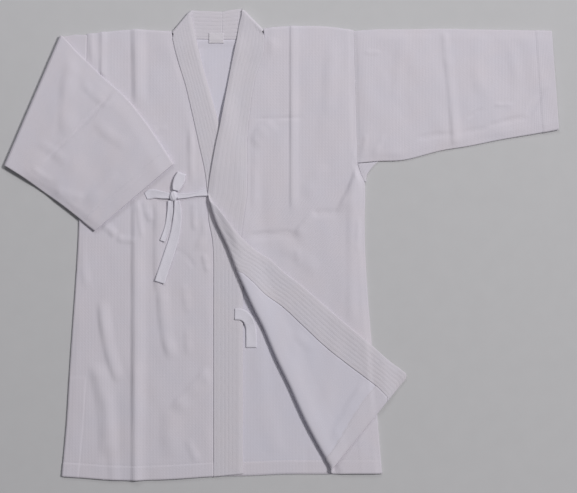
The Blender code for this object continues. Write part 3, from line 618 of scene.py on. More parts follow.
# Where each cross thread turns back, and how far beyond that the collar's seam and edge lie.
Turn = namedtuple("Turn", "y x seam edge")
TURNS = [Turn(*row) for row in (
    (504, -22, -70, 1), (461, -9, -51, 18), (416, 12, -24, 30), (371, 29.5, 4.5, 50.5), (335, 45, 22, 72),
    (302, 60, 35, 86), (268, 77, 53, 103), (214, 100, 77, 129), (164, 124, 97, 151), (101, 152, 128, 181),
    (50, 178, 151, 200), (8, 201, 162, 215),
)]
OVER_CREASES = [Crease(*row) for row in (
    (129, 870, 129, 470, 0, 16, 4.6, 1.9), (251, 566, 210, 474, -5, 20, 7.5, 2.9),
    (218, 477, 160, 473, 0, 14, 9, -1.0), (172, 478, 132, 428, 2, 20, 7.5, 1.7),
    (146, 436, 44, 431, 3, 16, 9, -1.7), (238, 540, 236, 270, 0, 15, 13, 1.2),
    (98, 640, 52, 596, 3, 28, 14, 1.9), (60, 596, 60, 470, 0, 18, 12, 1.5),
    (138, 412, 143, 376, 0, 9, 9, 0.6), (52, 643, 156, 646, 1, 5, 5, -1.0),
    (196, 560, 150, 500, 4, 18, 18, 0.9), (205, 790, 196, 640, 4, 20, 16, 0.9),
    (100, 420, 180, 360, -6, 22, 18, 1.0), (94, 792, 66, 735, 2, 26, 9, 1.6),
    (246, 620, 240, 566, 0, 6, 5, 1.4), (250, 470, 246, 396, 0, 10, 8, 1.0),
)]
FLAP_CREASES = [Crease(*row) for row in (
    (264, 176, 188, 38, 4, 26, 11, 1.7), (70, 300, 150, 210, 0, 26, 26, 0.8),
    (130, 262, 170, 226, 0, 14, 14, 0.8),
)]


def over_bed(x, y):
    """The underside of the left front and its collar: on the back, or raised over the other collar."""
    beyond = (x - read(UNDER_COLLAR, "edge_x", y, key="edge_y") - 10.0) / 40.0
    crossing = smooth((720.0 - y) / 60.0) * (1.0 - smooth(beyond))
    return FRONT_BED + CROSSING_RISE * crossing


def turn_x(y):
    return read(TURNS, "x", y)


def over_seam_x(y):
    """The seam between the left front and its collar, above the place where it turns back."""
    return np.where(
        y > TURNS[0].y, read(OVER_COLLAR, "seam_x", y, key="seam_y"), turn_x(y) - read(TURNS, "seam", y)
    )


def left_front_bed(x, y):
    """The inside of the left front where it lies flat, with its creases, but for seams and the roll."""
    inner = np.where(y > TURNS[0].y, over_seam_x(y), np.maximum(over_seam_x(y), turn_x(y) + FOLD_EDGE))
    held = smooth((side_x("left", y) - x) / 12.0) * smooth((x - inner) / 16.0)
    lift = held * np.maximum(0.8 + slack(x, y, 5, 1.4) + creased(x, y, OVER_CREASES), -0.2)
    return over_bed(x, y) + neck_rise(x, y) + lift


def at_steps(face, steps, at):
    """The point on each column of a grid where its steps, which rise from row to row, reach a given step."""
    columns = range(face.shape[1])
    return np.array([at_length(at, steps[:, c], face[:, c]) for c in columns])


def thread_length(reach):
    """Length of a cross thread from the start of the roll, for a place that shows reach beyond its edge."""
    return reach + FOLD_EDGE + (FOLD_TAKE_UP - FOLD_EDGE) * smooth(reach / 12.0)


def support(x, y):
    """The top of what the turned-back front lies on; past the side seam that is the floor."""
    collar = 1.0 - smooth((x - over_seam_x(np.maximum(y, 380.0)) - 6.0) / 15.0)
    wall = blend(CLOTH_WALL, blend(CLOTH_WALL, COLLAR_WALL, collar), smooth((y - 340.0) / 30.0))
    inside = 1.0 - smooth((x - side_x("left", y) - 14.0) / 32.0)
    return (left_front_bed(x, y) + wall) * inside


def over_place(y, thread, wall):
    """Places on the left front's inside: thread counts along a cross thread from the start of the roll."""
    start_x = turn_x(y) + FOLD_EDGE
    start_y = panel_level(start_x, y)
    flat_x = start_x - thread
    flat_y = panel_level(flat_x, y)
    flat = grid(flat_x, flat_y, left_front_bed(flat_x, flat_y))

    share = np.clip(thread / FOLD_ARC, 0.0, 1.0)
    hem_lift = FOLD_HEM_LIFT * share * smooth((70.0 - y) / 70.0)
    along = -FOLD_DOWN[0] * (thread - FOLD_TAKE_UP * share) - hem_lift
    beyond = np.maximum(0.0, thread - FOLD_ARC) * FOLD_OUT[0]
    out = beyond - FRONT_FOLD_RADIUS * np.sin(math.pi * share)
    turned_x = start_x + FOLD_DOWN[0] * along + FOLD_OUT[0] * out
    turned_y = start_y + FOLD_DOWN[1] * along + FOLD_OUT[1] * out
    rolled = left_front_bed(start_x, start_y) + FRONT_FOLD_RADIUS * (1.0 - np.cos(math.pi * share))
    swell = slack(turned_x, turned_y, 23, 1.3) + creased(turned_x, turned_y, FLAP_CREASES)
    swell = swell * smooth((beyond - 8.0) / 28.0)
    settled = support(turned_x, turned_y) + 1.5 * SEAM_GAP + wall + swell
    heap = TURN_HEAP * smooth(beyond / 18.0) * smooth((54.0 - beyond) / 34.0)
    heap = heap * smooth((y - 372.0) / 50.0) * smooth((506.0 - y) / 24.0)
    turned_z = blend(rolled, settled, smooth(beyond / 45.0)) + heap
    turned = grid(turned_x, turned_y, turned_z)
    return np.where((thread <= 0.0)[..., None], flat, turned)


level = levels[:, None]
roll_start = turn_x(level) + FOLD_EDGE
outer_thread = roll_start - side_x("left", level)
reach = thread_length(read(TURNS, "seam", level))
reach = reach - blend(SEAM_GAP, ROLL_SEAM_GAP, smooth((reach + 15.0) / 10.0))
inner_thread = np.where(level > TURNS[0].y, roll_start - over_seam_x(level) - SEAM_GAP, reach)
share = np.linspace(0.0, 1.0, LEFT_COLUMNS + 1)[None, :]
thread = outer_thread + share * (inner_thread - outer_thread)
face = over_place(level, thread, CLOTH_WALL)
hem_depth = HEM_DEPTH + FLAP_HEM_GAIN * smooth((thread - 20.0) / 120.0)
hem_rise = HEM_LAYERS + FLAP_HEM_RISE * smooth(thread / 20.0)
relief = hem_rise * smooth((hem_depth + 2.0 - level) / 4.0) + groove(level - hem_depth)
side_distance = thread - outer_thread
slit = smooth((SLIT_TOP - level) / 4.0)
relief += slit * HEM_LAYERS * smooth((LEFT_SLIT_HEM + 1.5 - side_distance) / 3.0)
flat_part = smooth(-thread / 10.0)
allowance = SEAM_ALLOWANCE * smooth(1.0 - (inner_thread - thread) / 14.0) * flat_part
allowance += ARMHOLE_ALLOWANCE * smooth(1.0 - side_distance / 10.0) * (level > SIDES[1].y)
face, place = over_shoulder(face, grid(-thread, level))
no_relief = np.zeros((ROLLED_ROWS, LEFT_COLUMNS + 1))
no_hem = np.zeros((ROLLED_ROWS, LEFT_COLUMNS), bool)
outward = np.concatenate([no_relief, flat_part * 0.6 * relief + allowance])
inward = np.concatenate([no_relief, (1.0 - flat_part) * 0.8 * relief])
turned_hem = np.concatenate([no_hem, (level < hem_depth)[1:, 1:]])
left_front, left_outer, left_up = shell(
    "left_front_cloth", face, CLOTH_WALL + outward, place, 1.0, [INSIDE_COTTON, OUTSIDE_COTTON],
    lift=inward, turned_up=(0, turned_hem),
)
left_inside = (face - left_up * inward[..., None])[ROLLED_ROWS:]
hem_inside = at_steps(left_inside, hem_depth - level, 0.0)
slit_side = at_steps(left_outer[slit_rows].swapaxes(0, 1), side_distance[slit_rows].T, LEFT_SLIT_HEM)
left_stitches = stitches("left_front_stitches", [
    (left_outer[hem_row], left_up[hem_row]), (hem_inside, -left_up[hem_row]),
    (slit_side, np.zeros_like(slit_side) + (0.0, 0.0, 1.0)),
], THREAD)
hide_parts("front_over")

# The left sleeve: a tapered tube of the same cotton, pressed flat, set into the armhole with three rows of
# stitches. It lies straight out with its cuff open, and the cuff is hemmed.
SLEEVE_HEIGHT = 2 * CLOTH_WALL + 0.8
SLEEVE_LENGTH = 366.0
CUFF_ZONE = 42.0
CUFF_STEP = 1.5
CUFF_HEIGHT = SLEEVE_HEIGHT + 2.2
CUFF_HEM = 28.5
CUFF_UP_ROW = -12
ARMHOLE_ROWS = (2.2, 4.6, 7.0)
Ring = namedtuple("Ring", "top_x top_y bottom_x bottom_y height")
LEFT_SLEEVE = [
    Ring(240.4, 801, 247.4, 563, SLEEVE_HEIGHT), Ring(286, 804, 286, 566.4, SLEEVE_HEIGHT),
    Ring(333, 804, 333, 569, SLEEVE_HEIGHT), Ring(396, 805, 396, 585, SLEEVE_HEIGHT),
    Ring(450, 804, 450, 594, SLEEVE_HEIGHT), Ring(504, 803, 504, 605, SLEEVE_HEIGHT),
    Ring(560, 802, 564, 615, 0.5 * (SLEEVE_HEIGHT + CUFF_HEIGHT)), Ring(595.5, 801, 608.5, 623, CUFF_HEIGHT),
]
LEFT_SLEEVE_CREASES = [Crease(*row) for row in (
    (400, 840, 406, 752, 0, 12, 8, 1.4), (404, 768, 422, 566, -3, 17, 7.5, 1.8),
    (350, 606, 424, 616, -2, 8, 8, -1.3), (424, 616, 488, 628, 0, 8, 8, -0.7),
    (474, 626, 560, 646, -3, 8, 8, -1.4), (552, 642, 590, 700, -5, 9, 9, -1.3),
    (444, 642, 474, 664, 0, 6, 6, -1.0), (258, 762, 290, 762, 0, 6, 6, 0.8),
    (490, 668, 528, 668, 0, 6, 6, 0.8), (298, 618, 274, 574, 0, 9, 9, 1.0),
    (262, 620, 254, 566, 0, 9, 6, 1.2), (330, 790, 318, 660, 5, 18, 14, 0.8),
    (520, 790, 532, 660, -4, 18, 14, 0.7), (460, 790, 468, 680, 3, 18, 14, 0.6),
)]
TUBE_EDGE = np.radians((-72, -50, -25, 0, 25, 50, 72))[None, :]
SLEEVE_ACROSS = 78


def row_between(table, shares):
    """Rows of numbers at shares of the way down a table, on smooth curves through its rows."""
    rows = np.array(table, float)
    place = np.clip(shares, 0.0, 1.0) * (len(rows) - 1)
    i = np.minimum(len(rows) - 2, place.astype(int))
    t = (place - i)[:, None]
    a, b, c, d = (rows[np.clip(i + k, 0, len(rows) - 1)] for k in (-1, 0, 1, 2))
    return 0.5 * (
        2 * b + (c - a) * t + (2 * a - 5 * b + 4 * c - d) * t * t + (3 * b - a - 3 * c + d) * t ** 3
    )


def between_ends(rows, share):
    """Places at shares of the way from each row's first end to its second."""
    return blend(rows[:, 0:1], rows[:, 2:3], share), blend(rows[:, 1:2], rows[:, 3:4], share)


def flattened(rings, across):
    """Places round flattened rings: how far down each from its top corner, and how far off its middle."""
    length = np.hypot(rings[:, 2] - rings[:, 0], rings[:, 3] - rings[:, 1])[:, None]
    half = 0.5 * rings[:, 4:5]
    angle = TUBE_EDGE
    under = blend(half, length - half, np.linspace(0.0, 1.0, across + 1)[None, :])
    down = [under, length - half + half * np.cos(angle), under[:, ::-1], half - half * np.cos(angle)]
    off = [under * 0.0 - half, half * np.sin(angle), under * 0.0 + half, -half * np.sin(angle)]
    return np.concatenate(down, axis=1), np.concatenate(off, axis=1), length


def from_end(cuff, x, y):
    """Distance of places from a sleeve's open end."""
    run = np.array((cuff.bottom_x - cuff.top_x, cuff.bottom_y - cuff.top_y))
    run = run / np.hypot(*run)
    return (x - cuff.top_x) * run[1] - (y - cuff.top_y) * run[0]


def upper_face(off, height, down, length, top_fade, bottom_fade):
    """How freely a tube's upper face may rise: not at all at its two edges."""
    free = smooth((2.0 * off / height - 0.3) / 0.5)
    return free * smooth(down / top_fade) * smooth((length - down) / bottom_fade)


def girth(x, y):
    """How far round its tube each place lies, from the first column."""
    steps = np.hypot(np.diff(x, axis=1), np.diff(y, axis=1)) + 0.4
    return np.concatenate([np.zeros((len(x), 1)), np.cumsum(steps, axis=1)], axis=1)


def sleeve_cloth(name, side, face, relief, runs):
    """A sleeve's tube of cloth, the places on its outer face, and which way is inward there."""
    around = girth(face[..., 0], face[..., 1])
    sleeve, _, inward = shell(
        name, face, CLOTH_WALL + relief, grid(runs[:, None], around), side, [OUTSIDE_COTTON, INSIDE_COTTON],
        closed=True, lift=relief,
    )
    return sleeve, face - inward * relief[..., None], inward


near_cuff = SLEEVE_LENGTH - CUFF_ZONE
steps = np.concatenate([
    spaced(0.0, near_cuff, GRID_STEP, fine=[ARMHOLE_ROWS[1]]),
    spaced(near_cuff, SLEEVE_LENGTH, CUFF_STEP)[1:],
])
ring_steps = np.cumsum([0.0] + [b.top_x - a.top_x for a, b in zip(LEFT_SLEEVE, LEFT_SLEEVE[1:])])
ring_shares = np.interp(
    steps / SLEEVE_LENGTH, ring_steps / ring_steps[-1], np.linspace(0.0, 1.0, len(LEFT_SLEEVE))
)
rings = row_between(LEFT_SLEEVE, ring_shares)
down, off, length = flattened(rings, SLEEVE_ACROSS)
share = down / length
x, y = between_ends(rings, share)
from_cuff = from_end(LEFT_SLEEVE[-1], x, y)
tall = rings[:, 4:5]
shown = upper_face(off, tall, down, length, 20.0, 16.0)
lift = np.maximum(0.6 + slack(x, y, 31, 1.4) + creased(x, y, LEFT_SLEEVE_CREASES), 0.0)
z = 0.5 * tall + off + shown * smooth(steps[:, None] / 26.0) * lift
outer_half = smooth(2.0 * off / tall + 0.5)
sewn = sum(groove(steps - row) for row in ARMHOLE_ROWS)[:, None]
relief = outer_half * (hem_relief(from_cuff, CUFF_HEM) + sewn)
left_sleeve, sleeve_face, left_in = sleeve_cloth("left_sleeve_cloth", 1.0, grid(x, y, z), relief, steps)
rows = [nearest(steps, row) for row in ARMHOLE_ROWS]
cuff_line = at_steps(sleeve_face, -from_cuff, -CUFF_HEM)
left_sleeve_stitches = stitches(
    "left_sleeve_stitches",
    [(cuff_line, -left_in[CUFF_UP_ROW])] + [(sleeve_face[row], -left_in[row]) for row in rows], THREAD,
)
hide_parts("sleeve_left")

# The right sleeve: the same tube, set in the same way. It runs out to a fold, rolls over and lies back across
# the chest, and its hemmed cuff puckers along a second line.
SLEEVE_FOLD_RADIUS = 3.6
RIGHT_SLEEVE_BED = SLEEVE_HEIGHT + 0.5
PUCKER = 1.6
PUCKER_ROW = 20.0
OVER_LENGTH = 264.0
OVER_CUFF_ZONE = 51.0
OVER_CUFF_STEP = 1.2
ROOT_ROWS = 12
RIGHT_SLEEVE_ROOT = [
    Ring(-239.4, 794, -245.4, 563, SLEEVE_HEIGHT), Ring(-262, 794, -312, 562, SLEEVE_HEIGHT),
]
SLEEVE_FOLD = Ring(-287, 793, -388, 558.5, SLEEVE_HEIGHT)
RIGHT_SLEEVE_OVER = [
    SLEEVE_FOLD, Ring(-262, 768, -350, 535, SLEEVE_HEIGHT), Ring(-235, 742, -315, 510, SLEEVE_HEIGHT),
    Ring(-206, 714, -285, 489, SLEEVE_HEIGHT), Ring(-168, 680, -258, 468, SLEEVE_HEIGHT),
    Ring(-125, 626, -241, 454, 0.5 * (SLEEVE_HEIGHT + CUFF_HEIGHT)), Ring(-83, 562, -225, 441, CUFF_HEIGHT),
]
RIGHT_SLEEVE_CREASES = [Crease(*row) for row in (
    (-318, 564, -182, 704, 3, 5, 7, -2.4), (-271, 760, -278, 606, 3, 28, 15, 1.7),
    (-180, 548, -248, 488, 0, 30, 13, 1.6), (-250, 712, -196, 662, 4, 14, 10, 0.9),
    (-336, 606, -270, 558, -4, 14, 14, 0.9), (-300, 520, -240, 500, 3, 12, 12, 0.7),
    (-228, 640, -160, 590, 4, 18, 14, 0.9), (-340, 556, -300, 528, 0, 10, 8, 0.8),
)]

fold = np.array(SLEEVE_FOLD, float)
run = np.array((fold[2] - fold[0], fold[3] - fold[1]))
out = np.array((run[1], -run[0])) / np.hypot(*run)
half = 0.5 * SLEEVE_HEIGHT
inset = -(SLEEVE_FOLD_RADIUS + half)
armhole, turn_off = (np.array(ring) for ring in RIGHT_SLEEVE_ROOT)
roll_start = np.append(fold[:4] + np.tile(out, 2) * inset, fold[4])
root_shares = np.linspace(0.0, 1.0, ROOT_ROWS)
root = np.array([blend(armhole, turn_off, s) for s in root_shares])
before = np.array([blend(turn_off, roll_start, s) for s in root_shares[1:-1]])
angles = np.linspace(0.0, math.pi, 17)
near_cuff = OVER_LENGTH - OVER_CUFF_ZONE
over_steps = np.concatenate([
    spaced(0.0, near_cuff, GRID_STEP)[1:], spaced(near_cuff, OVER_LENGTH, OVER_CUFF_STEP)[1:],
])
over_shares = over_steps / OVER_LENGTH
over = row_between(RIGHT_SLEEVE_OVER, over_shares)
rings = np.concatenate([root, before, np.tile(fold, (len(angles), 1)), over])
count = len(root) + len(before)
angle = np.concatenate([np.zeros(count), angles, np.full(len(over), math.pi)])[:, None]
over_share = np.concatenate([np.zeros(count + len(angles)), over_shares])[:, None]
turned = np.concatenate([np.zeros(count), np.ones(len(angles) + len(over))])[:, None]
down, off, length = flattened(rings, SLEEVE_ACROSS)
share = down / length
shift = turned * (inset * (1.0 - smooth(4.0 * over_share)) + SLEEVE_FOLD_RADIUS * np.sin(angle))
flat_x, flat_y = between_ends(rings, share)
x = flat_x + out[0] * (shift - np.sin(angle) * off)
y = flat_y + out[1] * (shift - np.sin(angle) * off)
droop = 3.0 * smooth((540.0 - y) / 28.0) * smooth((-285.0 - x) / 30.0)
middle = half + SLEEVE_FOLD_RADIUS * (1.0 - np.cos(angle))
settled = RIGHT_SLEEVE_BED + half + 0.1
level_off = smooth(3.2 * over_share)
middle = blend(middle, settled, level_off)
tall = rings[:, 4:5]
middle = middle + (over_share > 0.0) * (0.5 * (tall - SLEEVE_HEIGHT) - droop)
shown = upper_face(-off, tall, down, length, 34.0, 16.0)
lift = np.maximum(1.4 + slack(x, y, 43, 1.4) + creased(x, y, RIGHT_SLEEVE_CREASES), 0.0)
z = middle + np.cos(angle) * off + shown * smooth((over_share - 0.04) / 0.2) * lift
from_cuff = from_end(RIGHT_SLEEVE_OVER[-1], x, y)
pucker = PUCKER * groove(from_cuff - PUCKER_ROW) * smooth((share - 0.1) / 0.2) * smooth((0.9 - share) / 0.2)
outer_half = (over_share > 0.0) * smooth(0.5 - 2.0 * off / tall)
relief = outer_half * (hem_relief(from_cuff, CUFF_HEM) + pucker)
middle_run = 0.5 * (rings[:, 0:2] + rings[:, 2:4])
runs = lengths(middle_run) + 0.6 * np.arange(len(middle_run))
right_sleeve, sleeve_face, right_in = sleeve_cloth(
    "right_sleeve_cloth", -1.0, grid(x, y, z), relief, runs
)
over_rows = slice(count + len(angles), None)
cuff_line = at_steps(sleeve_face[over_rows], -from_cuff[over_rows], -CUFF_HEM)
right_sleeve_stitches = stitches("right_sleeve_stitches", [(cuff_line, -right_in[CUFF_UP_ROW])], THREAD)
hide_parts("sleeve_right")

# The underarm gussets: a small square of the same cotton folded into a triangle, sewn between sleeve, front
# and back.
ARMHOLE_END = 562.0
GUSSET_END = 530.0
GUSSET_REACH = 36.0
GUSSET_TIP = 3.6
for name, sign, rise in (("left", 1.0, 3.0), ("right", -1.0, -0.7)):
    levels_down = np.linspace(ARMHOLE_END, GUSSET_END, 16)[:, None]
    share = (ARMHOLE_END - levels_down) / (ARMHOLE_END - GUSSET_END)
    inner = side_x(name, levels_down) + sign * SEAM_GAP
    width = blend(GUSSET_REACH, GUSSET_TIP, 1.0 - (1.0 - share.clip(0.0, 1.0)) ** 1.6)
    angle = TUBE_EDGE
    flat = np.linspace(0.0, 1.0, 14)[None, :]
    under = flat * (width - half)
    across = np.concatenate([under, width - half + half * np.cos(angle), under[:, ::-1]], axis=1)
    edge = half + half * np.sin(angle) + 0.0 * share
    height = np.concatenate([under * 0.0, edge, under * 0.0 + 2 * half], axis=1)
    x = inner + sign * across
    y = levels_down + rise * (1.0 - share) * across / GUSSET_REACH
    bulge = 0.5 * smooth(across / 8.0) * smooth((width - across) / 8.0) * (height > half)
    gusset, _, _ = shell(
        name + "_gusset_cloth", grid(x, y, height + bulge), CLOTH_WALL, grid(across, levels_down), -sign,
        [OUTSIDE_COTTON, INSIDE_COTTON],
    )
    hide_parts("gusset_" + name)

# The collar: a long straight band of several layers, quilted by seven rows of stitches that run its whole
# length. It is sewn to the neck and the front edges, and goes over a fold at each shoulder.
COLLAR_WIDTH = 52.0
COLLAR_ROWS = (0.09, 0.225, 0.36, 0.495, 0.63, 0.765, 0.90)
UNDER_NAPE = [Band(*row) for row in (
    (3.8, 786.0, 3.8, 835), (-30, 786.2, -18, 836), (-55, 788.0, -36, 836.5), (-86.5, 798.5, -53.5, 838),
)]
OVER_NAPE = [Band(*row) for row in (
    (4.2, 786.0, 4.2, 835), (30, 786.4, 18, 838), (54, 790.4, 31, 839.5), (78.5, 803, 42.5, 840),
)]
COLLAR_TOP = 790.0
NAPE_FOLD_ROWS = 13
END_BOX_RUNS = (42.0, 6.0)
END_BOX_SHARES = (0.58, 0.95)
QUILT_CROWN = 0.6
EDGE_THINNING = 1.1
OVER_EDGE_LIFT = 2.2


def quilting(share, run):
    """How far the padding stands up between the rows of stitches, uneven along the band."""
    rows = np.array(COLLAR_ROWS)
    distance = np.abs(share[..., None] - rows).min(axis=-1) * COLLAR_WIDTH
    puff = np.sqrt(np.clip(distance / 3.5, 0.0, 1.0))
    edge = smooth(share * COLLAR_WIDTH / 3.0) * smooth((1.0 - share) * COLLAR_WIDTH / 3.0)
    channel = np.searchsorted(rows, share)
    coarse = 0.25 * np.sin(run / 3.7 + 2.1 * channel * channel)
    uneven = 1.0 + coarse + 0.2 * np.sin(run / 8.9 - 5.3 * channel)
    return QUILT_CROWN * (puff * edge * uneven - 0.45)


def nape_rows(nape, shares, columns):
    """The collar behind the neck, then round the shoulder fold: places on its inside, which lies up here."""
    bands = row_between(nape, shares)
    flat = grid(*between_ends(bands, columns[None, :]), COLLAR_WALL)
    last = nape[-1]
    run = np.array((last.edge_x - last.seam_x, last.edge_y - last.seam_y))
    run /= np.hypot(*run)
    out = np.array((abs(run[1]) * (-1.0 if last.edge_x < 0 else 1.0), abs(run[0])))
    angle = np.linspace(0.0, math.pi, NAPE_FOLD_ROWS)[:, None]
    off = NAPE_FOLD_RADIUS * np.sin(angle) - NAPE_FOLD_RADIUS - COLLAR_WALL
    x = blend(last.seam_x, last.edge_x, columns[None, :]) + out[0] * off
    y = blend(last.seam_y, last.edge_y, columns[None, :]) + out[1] * off
    z = COLLAR_WALL + NAPE_FOLD_RADIUS * (1.0 - np.cos(angle))
    return np.concatenate([flat, grid(x, y, z)])


def front_rows(table, levels, columns, bed):
    """The collar down a front, on its inside: each row runs from its seam to its free edge."""
    seam_x = read(table, "seam_x", levels, key="seam_y")
    seam_y = panel_level(seam_x, levels)
    edge_x = read(table, "edge_x", levels, key="seam_y")
    edge_y = read(table, "edge_y", levels, key="seam_y")
    x = blend(seam_x[:, None], edge_x[:, None], columns[None, :])
    y = blend(seam_y[:, None], edge_y[:, None], columns[None, :])
    return grid(x, y, bed(x, y))


def along_rows(face):
    return lengths(face[:, face.shape[1] // 2])


def collar_band(name, node, face, columns, side, end_box):
    """A half of the collar from its inside face, quilted on both faces, with its rows of stitches."""
    run = along_rows(face)
    share = np.broadcast_to(columns[None, :], face.shape[:2])
    puff = quilting(share, run[:, None])
    place = grid(share * COLLAR_WIDTH, run[:, None])
    thinner = EDGE_THINNING * smooth((share - 0.86) / 0.14)
    band, outer, up = shell(
        name, face, COLLAR_WALL + 0.4 * puff - thinner, place, side, [COLLAR_COTTON, COLLAR_COTTON],
        lift=0.5 * puff - 0.3 * thinner,
    )
    under = face - up * (0.5 * puff[..., None] - 0.3 * thinner[..., None] + 0.1)
    lines = []
    for row in COLLAR_ROWS:
        column = nearest(columns, row)
        lines.append((outer[:, column], up[:, column]))
        lines.append((under[:, column], -up[:, column]))
    if end_box:
        top, bottom = (nearest(run[-1] - run, at) for at in END_BOX_RUNS)
        first, last = (nearest(columns, at) for at in END_BOX_SHARES)
        for row in (top, bottom):
            lines.append((outer[row, first:last + 1], up[row, first:last + 1]))
        for column in (first, last):
            lines.append((outer[top:bottom + 1, column], up[top:bottom + 1, column]))
    sewing = stitches(name.replace("cloth", "stitches"), lines, THREAD)
    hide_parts(node)


COLLAR_COTTON = cotton("collar_cotton", (0.735, 0.706, 0.76), 0.25)
columns = np.array(sorted(set(
    [0.0, 0.01, 0.03, 0.97, 0.99, 1.0]
    + [row + off / COLLAR_WIDTH for row in COLLAR_ROWS for off in (-2.4, -1.1, 0.0, 1.1, 2.4)]
)))
nape_shares = np.linspace(0.0, 0.93, 34)
under_levels = np.concatenate([spaced(COLLAR_TOP, 26.0, GRID_STEP), spaced(24.0, 0.0, 2.0)])
face = np.concatenate([
    nape_rows(UNDER_NAPE, nape_shares, columns), front_rows(UNDER_COLLAR, under_levels, columns, collar_bed),
])
collar_band(
    "right_collar_cloth", "collar_under", face, columns, -1.0, True
)

over_levels = spaced(COLLAR_TOP, TURNS[0].y + GRID_STEP, GRID_STEP)
turn_levels = spaced(TURNS[0].y, 0.0, GRID_STEP)
level = turn_levels[:, None]
start = thread_length(read(TURNS, "seam", level))
end = thread_length(read(TURNS, "edge", level))
turned = over_place(level, start + (end - start) * columns[None, :], COLLAR_WALL)
face = np.concatenate([
    nape_rows(OVER_NAPE, nape_shares, columns),
    front_rows(OVER_COLLAR, over_levels, columns, lambda x, y: collar_bed(x, y) + over_bed(x, y) - FRONT_BED),
    turned,
])
flat_rows = slice(len(nape_shares) + NAPE_FOLD_ROWS, len(face) - len(turned))
free_part = smooth((770.0 - over_levels) / 40.0) * smooth((over_levels - 520.0) / 40.0)
face[flat_rows, :, 2] += OVER_EDGE_LIFT * free_part[:, None] * smooth((columns - 0.35) / 0.65)
collar_band(
    "left_collar_cloth", "collar_over", face, columns, 1.0,
    False,
)

# The outer ties: two bands of bluish white tape, one from the left collar and one from the right front, tied
# in a half bow at the breast. The knot leaves one loop and two tails.
RIBBON_WALL = 1.0
LOOP_RADIUS = 2.4
LOOP_TURN_ROWS = 12
KNOT_Z = 8.3
KNOT_HALF = (6.7, 9.0, 4.0)
KNOT_WALL = 0.9
Stretch = namedtuple("Stretch", "x y width lift")
TIES = {
    "tie_band_right": [
        Stretch(-133, 504, 12, 0.0), Stretch(-126, 507, 17, 0.0), Stretch(-117, 508, 15, 0.8),
        Stretch(-104, 506, 13, 2.2), Stretch(-89.9, 504, 9, 2.6),
    ],
    "tie_band_left": [
        Stretch(-23.4, 511, 13.5, 2.8), Stretch(-34, 509, 9.5, 2.6), Stretch(-46, 506.4, 6.6, 2.5),
        Stretch(-60, 504.6, 8, 2.5), Stretch(-76.2, 504, 10, 2.6),
    ],
    "tie_tail_long": [
        Stretch(-77, 495.4, 9, 2.4), Stretch(-76, 470, 14, 1.2), Stretch(-81, 434, 17, 0.1),
        Stretch(-92, 398, 18, 0.5), Stretch(-101, 371, 18, 0.5), Stretch(-108, 349, 18, 1.2),
    ],
    "tie_tail_short": [
        Stretch(-88.5, 495.5, 9, 2.4), Stretch(-90, 470, 10, 1.2), Stretch(-95, 446, 9, 0.1),
        Stretch(-103, 423, 9, 1.4),
    ],
}
TIE_LOOP = [
    Stretch(-79, 514.0, 10, 2.0), Stretch(-76, 524, 17, 1.0), Stretch(-72, 535, 19, 0.4),
    Stretch(-69, 543, 15, 0.1),
]


def tape(name, colour):
    """Bluish white cotton tape: a fine plain weave, firmer and smoother than the jacket's cloth."""
    material, shader = plain(name, Roughness=0.8, Sheen_Weight=0.15, Specular_IOR_Level=0.3)
    cloth = cloth_places(material)
    yarns = []
    for direction in ("X", "Y"):
        title = "yarns along " + direction
        yarns.append(
            texture(material, "TexWave", title, cloth, Scale=0.42, Distortion=0.8, Detail=2.0)
        )
        material.node_tree.nodes[title].bands_direction = direction
    weave = arithmetic(material, "weave", "MULTIPLY", *yarns)
    coloured = mixed(material, "weave colour", weave, shaded(colour, 0.9), colour)
    finish_material(material, shader, coloured, weave, 0.5, 0.2)
    return material


TAPE = tape("tie_tape", (0.88, 0.855, 0.94))


def right_front_top(x, y):
    return FRONT_BED + neck_rise(x, y) + under_lift(x, y) + CLOTH_WALL + 0.2


def ribbon(table, steps, ground, cup):
    """Places on a tape's lower face along its middle line, its edges raised or lowered by cup."""
    bands = row_between(table, np.linspace(0.0, 1.0, steps + 1))
    run = np.gradient(bands[:, :2], axis=0)
    run /= np.linalg.norm(run, axis=1, keepdims=True)
    off = np.linspace(-0.5, 0.5, 9)[None, :]
    x = bands[:, 0:1] + run[:, 1:2] * bands[:, 2:3] * off
    y = bands[:, 1:2] - run[:, 0:1] * bands[:, 2:3] * off
    level = (ground(x, y) + bands[:, 3:4]).max(axis=1, keepdims=True)
    along = lengths(bands[:, :2])[:, None]
    wander = 0.35 * np.sin(along / 9.0 + 3.0 * off) * np.clip(bands[:, 3:4], 0.3, 1.0)
    z = level + cup * (4.0 * off * off - 0.3) + np.abs(wander)
    return grid(x, y, z), grid(off * bands[:, 2:3], along)


for name, table in TIES.items():
    face, place = ribbon(table, 40, right_front_top, 0.5)
    tie, _, _ = shell(name + "_tape", face, RIBBON_WALL, place, 1.0, [TAPE, TAPE])
    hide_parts(name)

face, place = ribbon(TIE_LOOP, 14, right_front_top, 0.3)
tip = face[-1]
ahead = np.array((TIE_LOOP[-1].x - TIE_LOOP[-2].x, TIE_LOOP[-1].y - TIE_LOOP[-2].y, 0.0))
ahead /= np.linalg.norm(ahead)
up = np.array((0.0, 0.0, 1.0))
angle = np.linspace(0.0, math.pi, LOOP_TURN_ROWS)[1:-1, None, None]
turn = tip + ahead * LOOP_RADIUS * np.sin(angle) + up * LOOP_RADIUS * (1.0 - np.cos(angle))
face = np.concatenate([face, turn, face[::-1] + up * 2 * LOOP_RADIUS])
place = grid(place[0, :, 0], along_rows(face)[:, None])
loop, _, _ = shell("tie_loop_tape", face, RIBBON_WALL, place, 1.0, [TAPE, TAPE])
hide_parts("tie_loop")

